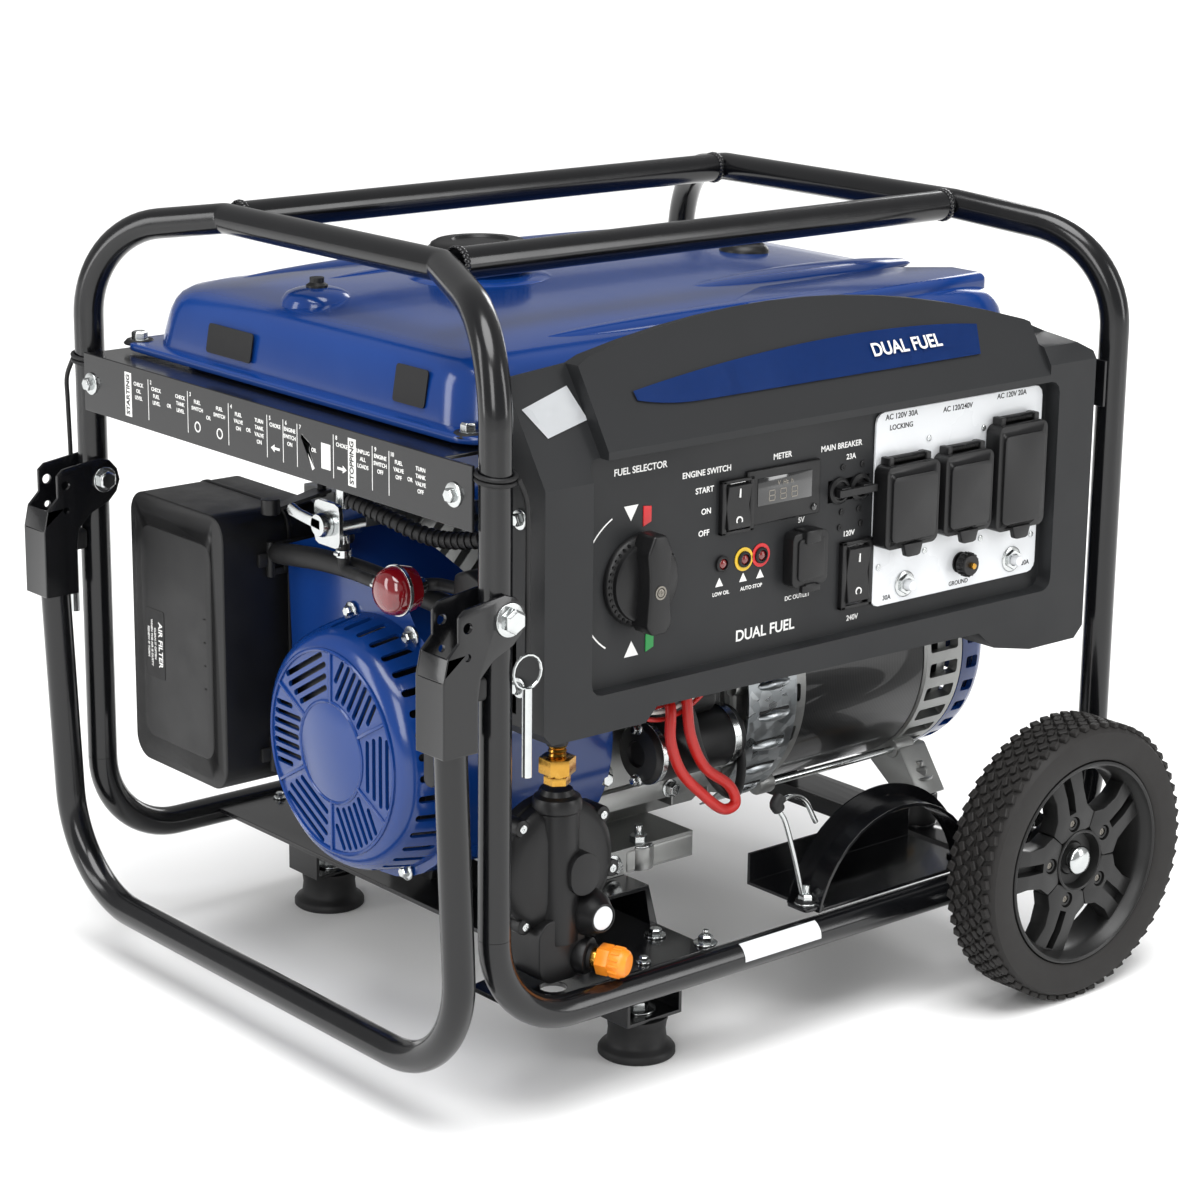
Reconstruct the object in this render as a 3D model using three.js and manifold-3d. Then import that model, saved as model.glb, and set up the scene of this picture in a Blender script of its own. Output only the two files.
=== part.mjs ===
// Portable generator: an open tube frame that carries a recoil-start engine, an alternator, a
// pressed fuel tank and a control panel, on two wheels and two rubber feet, with a folding
// pull handle at the engine end.
//
// Millimetres, +Z up. Sizes are laid out on the frame tubes: x = 0 on the left legs, y = 0
// midway between the front (-y) and rear (+y) legs, and z = 0 on the bottom rails. The outer
// group then moves everything so that the origin is on the ground, under the middle.

import * as THREE from 'three';
import { mergeVertices } from 'three/addons/utils/BufferGeometryUtils.js';
import Module from 'manifold-3d';

const wasm = await Module();
wasm.setup();

// Frame
const FRAME_LENGTH = 667.6;
const HALF_WIDTH = 278.3;
const TUBE_RADIUS = 12.7;
const TOP_Z = 560;
const GROUND_Z = -90;
const KINK_INSET = 57.2;
const KINK_FRONT_Y = -140;
const KINK_REAR_Y = 153;
const SHOULDER_SLOPE = THREE.MathUtils.degToRad(8);
const SHOULDER_BEND = 85;
const FOOT_BEND = 75;
const GAP = 0.3;
const ORIGIN_X = 314.5;

// Handle and its lock pins
const PIVOT_Z = 328;
const LOCK_Z = 366;
const BOLT_RADIUS = 5;
const LOCK_PIN_RADIUS = 3.8;
const HANDLE_TOP_X = -43.5;
const HANDLE_BOTTOM_X = -30;
const HANDLE_BAR_Z = -37;
const SOCKET_LOW_Z = 232;
const SOCKET_HIGH_Z = 290;
const EAR_OUTER_Y = 295;
const EAR_INNER_Y = 261;
const SHEET = 3;

// Engine, alternator and wheels
const SHAFT_Y = -60;
const SHAFT_Z = 165;
const SHAFT_RADIUS = 15;
const SHROUD_RADIUS = 112;
const ALTERNATOR_RADIUS = 112;
const CYLINDER_TILT = THREE.MathUtils.degToRad(40);
const WHEEL_X = 567;
const WHEEL_Z = 32;
const WHEEL_RADIUS = 122;
const WHEEL_INNER_Y = 315;
const WHEEL_OUTER_Y = 369;
const AXLE_RADIUS = 8;
const WHEEL_SIDES = 28;

// Control panel
const PANEL_FRONT_Y = -291;
const PANEL_FACE_Y = -276;
const PANEL_BACK_Y = -238;
const PANEL_WALL = 4;
const PLATE_FRONT_Y = -278.6;

// Tank
const FILLER_X = 230;
const FILLER_Y = 35;
const TANK_WALL = 3;

const vector = (x, y, z) => new THREE.Vector3(x, y, z);

// A closed triangle mesh as a solid, turned right side out.
function solidOf(geometry) {
  geometry.deleteAttribute('normal');
  geometry.deleteAttribute('uv');
  const merged = mergeVertices(geometry, 1e-4);
  const position = merged.attributes.position;
  const corners = [];
  let volume = 0;
  const a = vector(0, 0, 0);
  const b = vector(0, 0, 0);
  const c = vector(0, 0, 0);
  for (let i = 0; i < merged.index.count; i += 3) {
    const triangle = [merged.index.getX(i), merged.index.getX(i + 1), merged.index.getX(i + 2)];
    if (new Set(triangle).size === 3) {
      corners.push(triangle);
      a.fromBufferAttribute(position, triangle[0]);
      b.fromBufferAttribute(position, triangle[1]);
      c.fromBufferAttribute(position, triangle[2]);
      volume += a.dot(b.cross(c));
    }
  }
  if (volume < 0) {
    corners.forEach((triangle) => triangle.reverse());
  }
  return new wasm.Manifold(new wasm.Mesh({
    numProp: 3,
    vertProperties: new Float32Array(position.array),
    triVerts: new Uint32Array(corners.flat()),
  }));
}

function union(...solids) {
  return solids.reduce((sum, solid) => sum.add(solid));
}

function box([x0, x1], [y0, y1], [z0, z1]) {
  const geometry = new THREE.BoxGeometry(x1 - x0, y1 - y0, z1 - z0);
  geometry.translate((x0 + x1) / 2, (y0 + y1) / 2, (z0 + z1) / 2);
  return solidOf(geometry);
}

// Turns a shape drawn in a plane so that it is extruded along the named axis. Outlines are
// drawn as (y, z) for the x axis, (x, z) for the y axis and (x, y) for the z axis.
function prism(axis, outline, from, to) {
  const shape = new THREE.Shape(outline.map(([u, v]) => new THREE.Vector2(u, v)));
  const geometry = new THREE.ExtrudeGeometry(shape, { depth: to - from, bevelEnabled: false });
  if (axis === 'x') {
    const basis = new THREE.Matrix4();
    basis.makeBasis(vector(0, 1, 0), vector(0, 0, 1), vector(1, 0, 0));
    geometry.applyMatrix4(basis);
    geometry.translate(from, 0, 0);
  } else if (axis === 'y') {
    geometry.rotateX(Math.PI / 2);
    geometry.translate(0, to, 0);
  } else {
    geometry.translate(0, 0, from);
  }
  return solidOf(geometry);
}

// A solid of revolution about an axis through (u, v); the profile is a list of (radius, place
// along the axis) that starts and ends on the axis, or closes on itself.
function turned(axis, [u, v], profile, sides = 24) {
  const points = profile.map(([radius, along]) => new THREE.Vector2(radius, along));
  if (profile[0][0] > 0) {
    points.push(points[0].clone());
  }
  const geometry = new THREE.LatheGeometry(points, sides);
  if (axis === 'x') {
    geometry.rotateZ(-Math.PI / 2);
    geometry.translate(0, u, v);
  } else if (axis === 'y') {
    geometry.translate(u, 0, v);
  } else {
    geometry.rotateX(Math.PI / 2);
    geometry.translate(u, v, 0);
  }
  return solidOf(geometry);
}

function disc(axis, centre, radius, from, to, sides = 24) {
  return turned(axis, centre, [[0, from], [radius, from], [radius, to], [0, to]], sides);
}

function circle(centre, radius, sides) {
  return Array.from({ length: sides }, (_, i) => {
    const angle = (i / sides) * 2 * Math.PI;
    return [centre[0] + radius * Math.cos(angle), centre[1] + radius * Math.sin(angle)];
  });
}

function roundedRectangle([u0, u1], [v0, v1], radius, steps = 3) {
  const centres = [
    [u1 - radius, v0 + radius, -Math.PI / 2],
    [u1 - radius, v1 - radius, 0],
    [u0 + radius, v1 - radius, Math.PI / 2],
    [u0 + radius, v0 + radius, Math.PI],
  ];
  return centres.flatMap(([u, v, start]) => Array.from({ length: steps + 1 }, (_, i) => {
    const angle = start + (i / steps) * (Math.PI / 2);
    return [u + radius * Math.cos(angle), v + radius * Math.sin(angle)];
  }));
}

// A route of straight runs with rounded corners: each corner is [x, y, z, bend radius, steps].
function bentRoute(corners) {
  const points = [vector(...corners[0])];
  for (let i = 1; i < corners.length - 1; i += 1) {
    const [x, y, z, radius, steps] = corners[i];
    const corner = vector(x, y, z);
    const back = vector(...corners[i - 1].slice(0, 3)).sub(corner).normalize();
    const ahead = vector(...corners[i + 1].slice(0, 3)).sub(corner).normalize();
    const half = back.angleTo(ahead) / 2;
    const start = corner.clone().addScaledVector(back, radius / Math.tan(half));
    const middle = back.clone().add(ahead).normalize();
    const centre = corner.clone().addScaledVector(middle, radius / Math.sin(half));
    const first = start.clone().sub(centre).normalize();
    const second = back.clone().negate();
    for (let step = 0; step <= steps; step += 1) {
      const angle = (step / steps) * (Math.PI - 2 * half);
      const point = centre.clone().addScaledVector(first, radius * Math.cos(angle));
      points.push(point.addScaledVector(second, radius * Math.sin(angle)));
    }
  }
  points.push(vector(...corners[corners.length - 1]));
  return points;
}

// A curve that steps exactly through its own points, so a bend keeps the points it needs.
class PointCurve extends THREE.Curve {
  constructor(points) {
    super();
    this.points = points;
  }

  getPointAt(t) {
    return this.points[Math.round(t * (this.points.length - 1))].clone();
  }

  getTangentAt(t) {
    const last = this.points.length - 1;
    const index = Math.round(t * last);
    const before = this.points[Math.max(index - 1, 0)];
    const after = this.points[Math.min(index + 1, last)];
    const here = this.points[index];
    const tangent = here.clone().sub(before).normalize();
    return tangent.add(after.clone().sub(here).normalize()).normalize();
  }
}

function rod(points, radius, sides = 10) {
  const section = new THREE.Shape(circle([0, 0], radius, sides).map(
    ([u, v]) => new THREE.Vector2(u, v),
  ));
  return solidOf(new THREE.ExtrudeGeometry(section, {
    steps: points.length - 1,
    extrudePath: new PointCurve(points),
  }));
}

// A solid through rings of points that lie one above the other, each [outline, z].
function loft(rings) {
  const count = rings[0][0].length;
  const position = rings.flatMap(([outline, z]) => outline.flatMap(([x, y]) => [x, y, z]));
  const index = [];
  for (let ring = 0; ring < rings.length - 1; ring += 1) {
    for (let i = 0; i < count; i += 1) {
      const low = ring * count + i;
      const lowNext = ring * count + ((i + 1) % count);
      index.push(low, lowNext, lowNext + count, low, lowNext + count, low + count);
    }
  }
  const top = (rings.length - 1) * count;
  for (let i = 1; i < count - 1; i += 1) {
    index.push(0, i + 1, i, top, top + i, top + i + 1);
  }
  const geometry = new THREE.BufferGeometry();
  geometry.setAttribute('position', new THREE.Float32BufferAttribute(position, 3));
  geometry.setIndex(index);
  return solidOf(geometry);
}

const generator = new THREE.Group();
const machine = new THREE.Group();
machine.position.set(-ORIGIN_X, 0, -GROUND_Z);
generator.add(machine);

function finish(color, roughness, metalness) {
  return new THREE.MeshStandardMaterial({ color, roughness, metalness });
}

const FINISHES = {
  blackEnamel: finish(0x16171a, 0.3, 0.2),
  blackPlastic: finish(0x202123, 0.6, 0),
  panelPlastic: finish(0x343537, 0.65, 0),
  blueEnamel: finish(0x1b4a9c, 0.25, 0.1),
  bluePlastic: finish(0x1f4f9e, 0.4, 0),
  castAluminium: finish(0x9a9a96, 0.5, 0.9),
  galvanised: finish(0xa8adb0, 0.35, 0.9),
  zinc: finish(0xc8cacc, 0.3, 0.9),
  rubber: finish(0x1a1a1b, 0.85, 0),
  whitePlastic: finish(0xe6e7e8, 0.4, 0),
  redEnamel: finish(0x8e1420, 0.3, 0.1),
  orangePlastic: finish(0xf28c1b, 0.4, 0),
  steel: finish(0x8a8c8f, 0.4, 0.9),
};

function part(name, solid, material) {
  const mesh = solid.getMesh();
  const geometry = new THREE.BufferGeometry();
  geometry.setAttribute('position', new THREE.Float32BufferAttribute(mesh.vertProperties, 3));
  geometry.setIndex(Array.from(mesh.triVerts));
  geometry.computeVertexNormals();
  const node = new THREE.Mesh(geometry, material);
  node.name = name;
  machine.add(node);
}

// Both sides of the machine: the front is at -y and the rear at +y.
const SIDES = [['front', -1], ['rear', 1]];

// ---- Frame -------------------------------------------------------------------------------

// One hoop: two legs that lean in at the shoulders, and the bar across the top.
function hoop(x, inward) {
  const kinkX = x + inward * KINK_INSET;
  const shoulderZ = (kinkY) => {
    const run = Math.hypot(KINK_INSET, HALF_WIDTH - Math.abs(kinkY));
    return TOP_Z - run * Math.tan(SHOULDER_SLOPE);
  };
  const legFoot = FOOT_BEND + 1 + GAP;
  return rod(bentRoute([
    [x, -HALF_WIDTH, legFoot],
    [x, -HALF_WIDTH, shoulderZ(KINK_FRONT_Y), SHOULDER_BEND, 5],
    [kinkX, KINK_FRONT_Y, TOP_Z, 18, 2],
    [kinkX, KINK_REAR_Y, TOP_Z, 18, 2],
    [x, HALF_WIDTH, shoulderZ(KINK_REAR_Y), SHOULDER_BEND, 5],
    [x, HALF_WIDTH, legFoot],
  ]), TUBE_RADIUS);
}

// The left legs are drilled for the handle's pivot bolts and for its lock pins.
function handleBores() {
  const across = (z, radius) => disc('y', [0, z], radius, -300, 300, 8);
  return across(PIVOT_Z, BOLT_RADIUS + GAP).add(across(LOCK_Z, LOCK_PIN_RADIUS + GAP));
}

part('left_hoop', hoop(0, 1).subtract(handleBores()), FINISHES.blackEnamel);
part('right_hoop', hoop(FRAME_LENGTH, -1), FINISHES.blackEnamel);

for (const [side, sign] of SIDES) {
  const y = sign * HALF_WIDTH;
  part(`bottom_rail_${side}`, rod(bentRoute([
    [0, y, FOOT_BEND + 1],
    [0, y, 0, FOOT_BEND, 5],
    [FRAME_LENGTH, y, 0, FOOT_BEND, 5],
    [FRAME_LENGTH, y, FOOT_BEND + 1],
  ]), TUBE_RADIUS), FINISHES.blackEnamel);
}

function topRail(y) {
  const butt = KINK_INSET + TUBE_RADIUS + 2 * GAP;
  return rod([vector(butt, y, TOP_Z), vector(FRAME_LENGTH - butt, y, TOP_Z)], TUBE_RADIUS);
}

part('top_rail_front', topRail(KINK_FRONT_Y), FINISHES.blackEnamel);
part('top_rail_rear', topRail(KINK_REAR_Y), FINISHES.blackEnamel);

// Cross members span the bottom rails, just short of the tubes.
const RAIL_GAP_Y = HALF_WIDTH - TUBE_RADIUS - 0.4;
const FOOT_X = 197;
const FOOT_Y = 216;
const PLATE_Z = [2, 6];
const ENGINE_FOOT_Z = 42;

function engineCrossMember() {
  const plate = prism('z', [
    [112, RAIL_GAP_Y], [112, -170], [90, -195], [34, -205], [34, -RAIL_GAP_Y],
    [235, -RAIL_GAP_Y], [235, RAIL_GAP_Y],
  ], ...PLATE_Z);
  const drain = disc('z', [83, -247], 11, -5, 10, 14);
  let member = plate.subtract(drain);
  for (const [, sign] of SIDES) {
    const near = sign * (FOOT_Y - 22);
    const far = sign * (FOOT_Y + 22);
    const span = [Math.min(near, far), Math.max(near, far)];
    const shell = box([168, 226], span, [-56, 3]);
    const bore = box([171, 223], [span[0] - 5, span[1] + 5], [-53, -1]);
    member = member.add(shell.subtract(bore));
  }
  for (const y of [-195, 0]) {
    const riser = [[150, 5], [236, 5], [226, ENGINE_FOOT_Z - GAP], [160, ENGINE_FOOT_Z - GAP]];
    const core = [[158, 6], [228, 6], [222, ENGINE_FOOT_Z - 4], [164, ENGINE_FOOT_Z - 4]];
    member = member.add(prism('y', riser, y, y + 70).subtract(prism('y', core, y - 1, y + 71)));
  }
  return member;
}

part('engine_cross_member', engineCrossMember(), FINISHES.blackEnamel);

const ALTERNATOR_FOOT_X = [562, 608];
const ALTERNATOR_FOOT_Z = 36;

function alternatorCrossMember() {
  const channel = box(ALTERNATOR_FOOT_X, [-RAIL_GAP_Y, RAIL_GAP_Y], [-10, 6]);
  const hollow = box([565, 605], [-270, 270], [-12, 3]);
  let member = channel.subtract(hollow);
  for (const y of [-150, 30]) {
    member = member.add(disc('z', [585, y], 17, 5, ALTERNATOR_FOOT_Z - GAP, 16));
  }
  return member;
}

part('alternator_cross_member', alternatorCrossMember(), FINISHES.blackEnamel);

for (const [side, sign] of SIDES) {
  const topZ = -56 - GAP;
  part(`foot_${side}`, turned('z', [FOOT_X, sign * FOOT_Y], [
    [0, GROUND_Z], [31.5, GROUND_Z], [31.5, GROUND_Z + 4], [25.5, GROUND_Z + 10],
    [24.5, topZ], [0, topZ],
  ], 20), FINISHES.rubber);
}

// ---- Tank rails --------------------------------------------------------------------------

const RAIL_TOP_Z = 440;

function labelRail() {
  const web = box([-16, -13], [-271, 262], [390.5, RAIL_TOP_Z]);
  const shelf = box([-14, 38], [-235, 258], [RAIL_TOP_Z - SHEET, RAIL_TOP_Z]);
  return web.add(shelf);
}

part('label_rail', labelRail(), FINISHES.blackEnamel);

function rightTankRail() {
  const legFace = FRAME_LENGTH - TUBE_RADIUS - GAP;
  const web = box([legFace - SHEET, legFace], [-284, 284], [400, RAIL_TOP_Z]);
  const shelf = box([612, legFace], [-236, 258], [RAIL_TOP_Z - SHEET, RAIL_TOP_Z]);
  return web.add(shelf);
}

part('tank_rail_right', rightTankRail(), FINISHES.blackEnamel);

// ---- Fuel tank ---------------------------------------------------------------------------

const TANK_X = [12, 640];
const TANK_Y = [-235, 252];
const SEAM_Z = 445;

// The tank's outline, drawn in from the seam flange by a margin.
function tankRing(margin, radius, z) {
  const outline = roundedRectangle(
    [TANK_X[0] + margin, TANK_X[1] - margin],
    [TANK_Y[0] + margin, TANK_Y[1] - margin],
    radius,
  );
  return [outline, z];
}

// Crowned top shell with a raised collar for the filler. Margins and heights step inwards
// from the side wall, over the shoulder and up to the crown.
function tankUpperShell() {
  const crown = (inset, drop) => loft([
    tankRing(14 + inset, 46, SEAM_Z - 2 * drop),
    tankRing(18 + inset, 46, 470),
    tankRing(22 + inset, 44, 488 - drop),
    tankRing(32 + inset, 42, 497 - drop),
    tankRing(78 + inset, 60, 505 - drop),
    tankRing(150 + inset, 60, 511 - drop),
  ]);
  const flange = loft([tankRing(0, 25, SEAM_Z + 0.2), tankRing(0, 25, SEAM_Z + 2.2)]);
  const filler = [FILLER_X, FILLER_Y];
  const collar = turned('z', filler, [
    [0, 490], [62, 490], [56, 514], [34, 517], [34, 530], [0, 530],
  ]);
  const throat = disc('z', filler, 28, 480, 540);
  const bowl = turned('z', filler, [[0, 480], [58, 480], [53, 511], [0, 511]]);
  const outer = union(crown(0, 0), collar);
  const below = box([0, 700], [-300, 300], [400, SEAM_Z + 0.2]);
  return union(outer, flange).subtract(crown(TANK_WALL, TANK_WALL)).subtract(bowl)
    .subtract(throat).subtract(below);
}

part('tank_upper_shell', tankUpperShell(), FINISHES.blueEnamel);

function tankLowerTray() {
  const tray = (inset, rise) => loft([
    tankRing(76 + inset, 40, 375 + rise),
    tankRing(50 + inset, 45, 381 + rise),
    tankRing(36 + inset, 45, 402 + rise),
    tankRing(30 + inset, 45, SEAM_Z - 0.1 + rise),
  ]);
  const flange = loft([tankRing(0, 25, SEAM_Z - 2.1), tankRing(0, 25, SEAM_Z - 0.1)]);
  return union(tray(0, 0), flange).subtract(tray(TANK_WALL, TANK_WALL));
}

part('tank_lower_tray', tankLowerTray(), FINISHES.blueEnamel);

part('fuel_cap', turned('z', [FILLER_X, FILLER_Y], [
  [0, 542], [36, 542], [42, 539], [43, 519], [36.5, 519], [36.5, 531], [0, 531],
]), FINISHES.blackPlastic);

// ---- Control panel -----------------------------------------------------------------------

const PANEL_X = [36, 632];
const RECESS_X = [82, 588];
const RECESS_Z = [252, 432];

// The hood's arch: highest near the middle and falling towards both ends.
function archPoints(lift) {
  const points = [];
  const [from, to] = [570, 108];
  const steps = 12;
  for (let i = 0; i <= steps; i += 1) {
    const x = from + ((to - from) * i) / steps;
    const across = (x - 300) / 270;
    points.push([x, 522 - lift - 40 * across * across]);
  }
  return points;
}

function panelOutline(inset) {
  return [
    [PANEL_X[0] + inset, 231 + inset], [44 + inset, 222 + inset], [136 - inset, 222 + inset],
    [147 - inset, 233 + inset], [502 + inset, 228 + inset], [522 + inset, 212 + inset],
    [566, 203 + inset], [622 - inset, 203 + inset], [PANEL_X[1] - inset, 213 + inset],
    [PANEL_X[1] - inset, 452 - inset], [606, 466 - inset], ...archPoints(inset),
    [96, 497 - inset], [PANEL_X[0] + inset, 492 - inset],
  ];
}

// Side profile of the hood as (y, z): the front face, then the slope back to the tank.
function panelProfile(inset, frontTop, rearTop) {
  const front = PANEL_FRONT_Y + inset;
  return [
    [front, 190], [front, frontTop], [front + 9, frontTop + 14 - inset / 2],
    [PANEL_BACK_Y, rearTop - 1.3 * inset], [PANEL_BACK_Y, 190],
  ];
}

// Places of the controls on the panel face, as (x, z).
const KNOB = [140, 331];
const ENGINE_SWITCH = [236.5, 374.5];
const VOLTAGE_SWITCH = [368.5, 299];
const BREAKER = [359.5, 370];
const RESETS = [['left', 424, 281.5], ['right', 551, 282]];
const RESET_RADIUS = 4.5;

function switchBay([x, z], halfWidth, halfHeight) {
  return box([x - halfWidth, x + halfWidth], [-280, -265], [z - halfHeight, z + halfHeight]);
}

function controlPanel() {
  const outline = prism('y', panelOutline(0), PANEL_FRONT_Y - 1, PANEL_BACK_Y);
  const middle = prism('x', panelProfile(0, 438, 524), 96, 576);
  const ends = prism('x', panelProfile(0, 417, 499), PANEL_X[0], PANEL_X[1]);
  const right = prism('x', panelProfile(0, 446, 474), 576, PANEL_X[1]);
  const hood = outline.intersect(union(middle, ends, right));
  const hollowOutline = prism('y', panelOutline(PANEL_WALL), PANEL_FRONT_Y, -200);
  const faceBack = PANEL_FACE_Y + PANEL_WALL;
  const hollowProfile = (frontTop, rearTop, from, to) => prism('x', [
    [faceBack, 190], [faceBack, frontTop], [PANEL_BACK_Y + 1, rearTop], [PANEL_BACK_Y + 1, 190],
  ], from, to);
  const hollow = hollowOutline.intersect(union(
    hollowProfile(455, 515, 100, 572),
    hollowProfile(436, 490, PANEL_X[0], PANEL_X[1]),
  ));
  const recess = prism('y', roundedRectangle(RECESS_X, RECESS_Z, 10), -300, PANEL_FACE_Y);
  let panel = hood.subtract(hollow).subtract(recess);
  panel = panel.subtract(switchBay(ENGINE_SWITCH, 15, 20));
  panel = panel.subtract(switchBay(VOLTAGE_SWITCH, 14, 26));
  panel = panel.subtract(switchBay(BREAKER, 23, 9));
  for (const [, x, z] of RESETS) {
    panel = panel.subtract(disc('y', [x, z], RESET_RADIUS + GAP, -290, -260, 12));
  }
  return panel;
}

part('control_panel', controlPanel(), FINISHES.panelPlastic);

// Outlet covers as [name, middle x, width, low z, high z].
const COVERS = [
  ['left', 414, 60, 318, 392],
  ['middle', 479, 56, 319, 392],
  ['right', 542, 58, 313, 408],
];

function outletPlate() {
  const outline = roundedRectangle([386, 581], [267, 428], 9);
  let plate = prism('y', outline, PLATE_FRONT_Y, PANEL_FACE_Y - GAP);
  for (const [, x, width, low, high] of COVERS) {
    const middleZ = (low + high) / 2;
    const reach = (high - low) / 2 - 13;
    const face = roundedRectangle([x - width / 2 + 11, x + width / 2 - 11],
      [middleZ - reach, middleZ + reach], 12);
    plate = plate.add(prism('y', face, PLATE_FRONT_Y - 6, PLATE_FRONT_Y + 1));
  }
  for (const [, x, z] of RESETS) {
    plate = plate.subtract(disc('y', [x, z], RESET_RADIUS + GAP, -290, -260, 12));
  }
  return plate;
}

part('outlet_plate', outletPlate(), FINISHES.whitePlastic);

// Sprung rubber-lidded covers, hinged along the top edge.
function outletCover(x, width, low, high) {
  const back = PLATE_FRONT_Y - 0.6;
  const front = -298;
  const across = [x - width / 2, x + width / 2];
  const shell = prism('y', roundedRectangle(across, [low, high], 8, 2), front, back);
  const inside = [across[0] + SHEET, across[1] - SHEET];
  const hollow = prism('y', roundedRectangle(inside, [low + SHEET, high - SHEET], 6, 2),
    front + SHEET, back + 1);
  const tab = box([x - 8, x + 8], [front, front + 4], [low - 8, low + 2]);
  return shell.subtract(hollow).add(tab);
}

for (const [name, x, width, low, high] of COVERS) {
  part(`outlet_cover_${name}`, outletCover(x, width, low, high), FINISHES.blackPlastic);
}

part('usb_cover', prism('y', roundedRectangle([289, 327], [301, 345], 6, 2),
  -289, PANEL_FACE_Y - 0.6), FINISHES.blackPlastic);

function selectorKnob() {
  const skirt = turned('y', KNOB, [
    [0, PANEL_FACE_Y - GAP], [36, PANEL_FACE_Y - GAP], [35, -282], [30, -286], [0, -286],
  ], 28);
  const grip = prism('y', [
    [KNOB[0] - 13, KNOB[1] - 38], [KNOB[0] + 13, KNOB[1] - 38], [KNOB[0] + 13, KNOB[1] + 24],
    [KNOB[0] + 6, KNOB[1] + 40], [KNOB[0] - 6, KNOB[1] + 40], [KNOB[0] - 13, KNOB[1] + 24],
  ], -301, -280);
  return skirt.add(grip);
}

part('fuel_selector_knob', selectorKnob(), FINISHES.blackPlastic);

// A rocker sits half in its bay: two facets that meet in a shallow valley.
function rocker([x, z], halfWidth, halfHeight) {
  const profile = [
    [-271, z - halfHeight + 3], [-278, z - halfHeight], [-283, z - halfHeight + 1],
    [-280, z], [-283, z + halfHeight - 1], [-278, z + halfHeight], [-271, z + halfHeight - 3],
  ];
  return prism('x', profile, x - halfWidth, x + halfWidth);
}

part('engine_rocker', rocker(ENGINE_SWITCH, 12, 18), FINISHES.blackPlastic);
part('voltage_rocker', rocker(VOLTAGE_SWITCH, 12, 23), FINISHES.blackPlastic);

function breakerLever() {
  const [x, z] = BREAKER;
  const tie = box([x - 21, x + 21], [-288, -284], [z - 3, z + 3]);
  const lever = (offset) => box([x + offset - 5, x + offset + 5], [-286, -273], [z - 4, z + 4]);
  return union(tie, lever(-12), lever(12));
}

part('breaker_lever', breakerLever(), FINISHES.blackPlastic);

for (const [name, x, z] of RESETS) {
  part(`reset_button_${name}`, disc('y', [x, z], RESET_RADIUS, -289, -268, 12), FINISHES.zinc);
}

// ---- Engine ------------------------------------------------------------------------------

const SHAFT = [SHAFT_Y, SHAFT_Z];

part('recoil_cover', turned('x', SHAFT, [
  [0, 6], [84, 6], [92, 10], [99, 22], [105, 55], [102, 55], [96, 24], [89.5, 13.5],
  [82, 9.5], [0, 9.5],
], 32), FINISHES.blueEnamel);

// The fan shroud: a drum around the flywheel with a duct up to the cylinder, and a skirt
// that follows the drum along the front of the crankcase.
function fanShroud() {
  const duct = (inset) => [
    [-150 + inset, 215], [-92, 290 - inset], [10, 322 - inset], [68 - inset, 302 - inset],
    [62 - inset, 195], [0, 120],
  ];
  const drum = (inset, from, to) => disc('x', SHAFT, SHROUD_RADIUS - inset, from, to, 36)
    .add(prism('x', duct(inset), from, to));
  const wallX = 55 + GAP;
  const shell = drum(0, wallX, 130).subtract(drum(SHEET, wallX + SHEET, 131));
  const mouth = disc('x', SHAFT, 98, 50, 60, 32);
  const skirtBand = disc('x', SHAFT, SHROUD_RADIUS, 129, 205, 36)
    .subtract(disc('x', SHAFT, SHROUD_RADIUS - SHEET, 120, 206, 36))
    .intersect(box([120, 210], [-200, -130], [60, 280]));
  return shell.subtract(mouth).add(skirtBand);
}

part('fan_shroud', fanShroud(), FINISHES.blueEnamel);

// A point in the (y, z) plane at a distance along the cylinder's axis and across it.
function cylinderPoint(along, across) {
  const cos = Math.cos(CYLINDER_TILT);
  const sin = Math.sin(CYLINDER_TILT);
  return [SHAFT_Y + along * cos - across * sin, SHAFT_Z + along * sin + across * cos];
}

function cylinderBlock(near, far, halfWidth, xSpan) {
  return prism('x', [
    cylinderPoint(near, -halfWidth), cylinderPoint(far, -halfWidth),
    cylinderPoint(far, halfWidth), cylinderPoint(near, halfWidth),
  ], ...xSpan);
}

const CYLINDER_X = [215, 325];
const HEAD_START = 200;

function engineBlock() {
  const crankcase = prism('x', [
    [-148, 112], [-148, 213], [-120, 240], [10, 250], [58, 215], [58, 92], [30, 63],
    [-105, 63], [-126, 84],
  ], 133, 352);
  const foot = box([150, 300], [-165, 45], [ENGINE_FOOT_Z, 64]);
  const barrel = cylinderBlock(60, HEAD_START, 44, CYLINDER_X);
  const adaptor = turned('x', SHAFT, [[0, 340], [98, 340], [92, 372], [0, 372]], 28);
  let block = union(crankcase, foot, barrel, adaptor);
  for (let step = 0; step < 4; step += 1) {
    const start = 122 + step * 19;
    const slot = cylinderBlock(start, start + 8, 60, [200, 340]);
    const core = cylinderBlock(start - 1, start + 9, 34, [CYLINDER_X[0] + 10, CYLINDER_X[1] - 10]);
    block = block.subtract(slot.subtract(core));
  }
  return block.subtract(disc('x', SHAFT, SHAFT_RADIUS + 1, 120, 380, 16));
}

part('engine_block', engineBlock(), FINISHES.castAluminium);
part('cylinder_head', union(
  cylinderBlock(HEAD_START + GAP, 226, 54, CYLINDER_X),
  cylinderBlock(225, 246, 40, [228, 312]),
), FINISHES.castAluminium);

// Everything that turns: flywheel, crankshaft and alternator rotor on one line.
part('crank_rotor', turned('x', SHAFT, [
  [0, 40], [18, 40], [18, 62], [92, 62], [92, 84], [SHAFT_RADIUS, 90], [SHAFT_RADIUS, 425],
  [61, 440], [61, 552], [12, 562], [12, 604], [0, 604],
], 24), FINISHES.steel);

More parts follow.
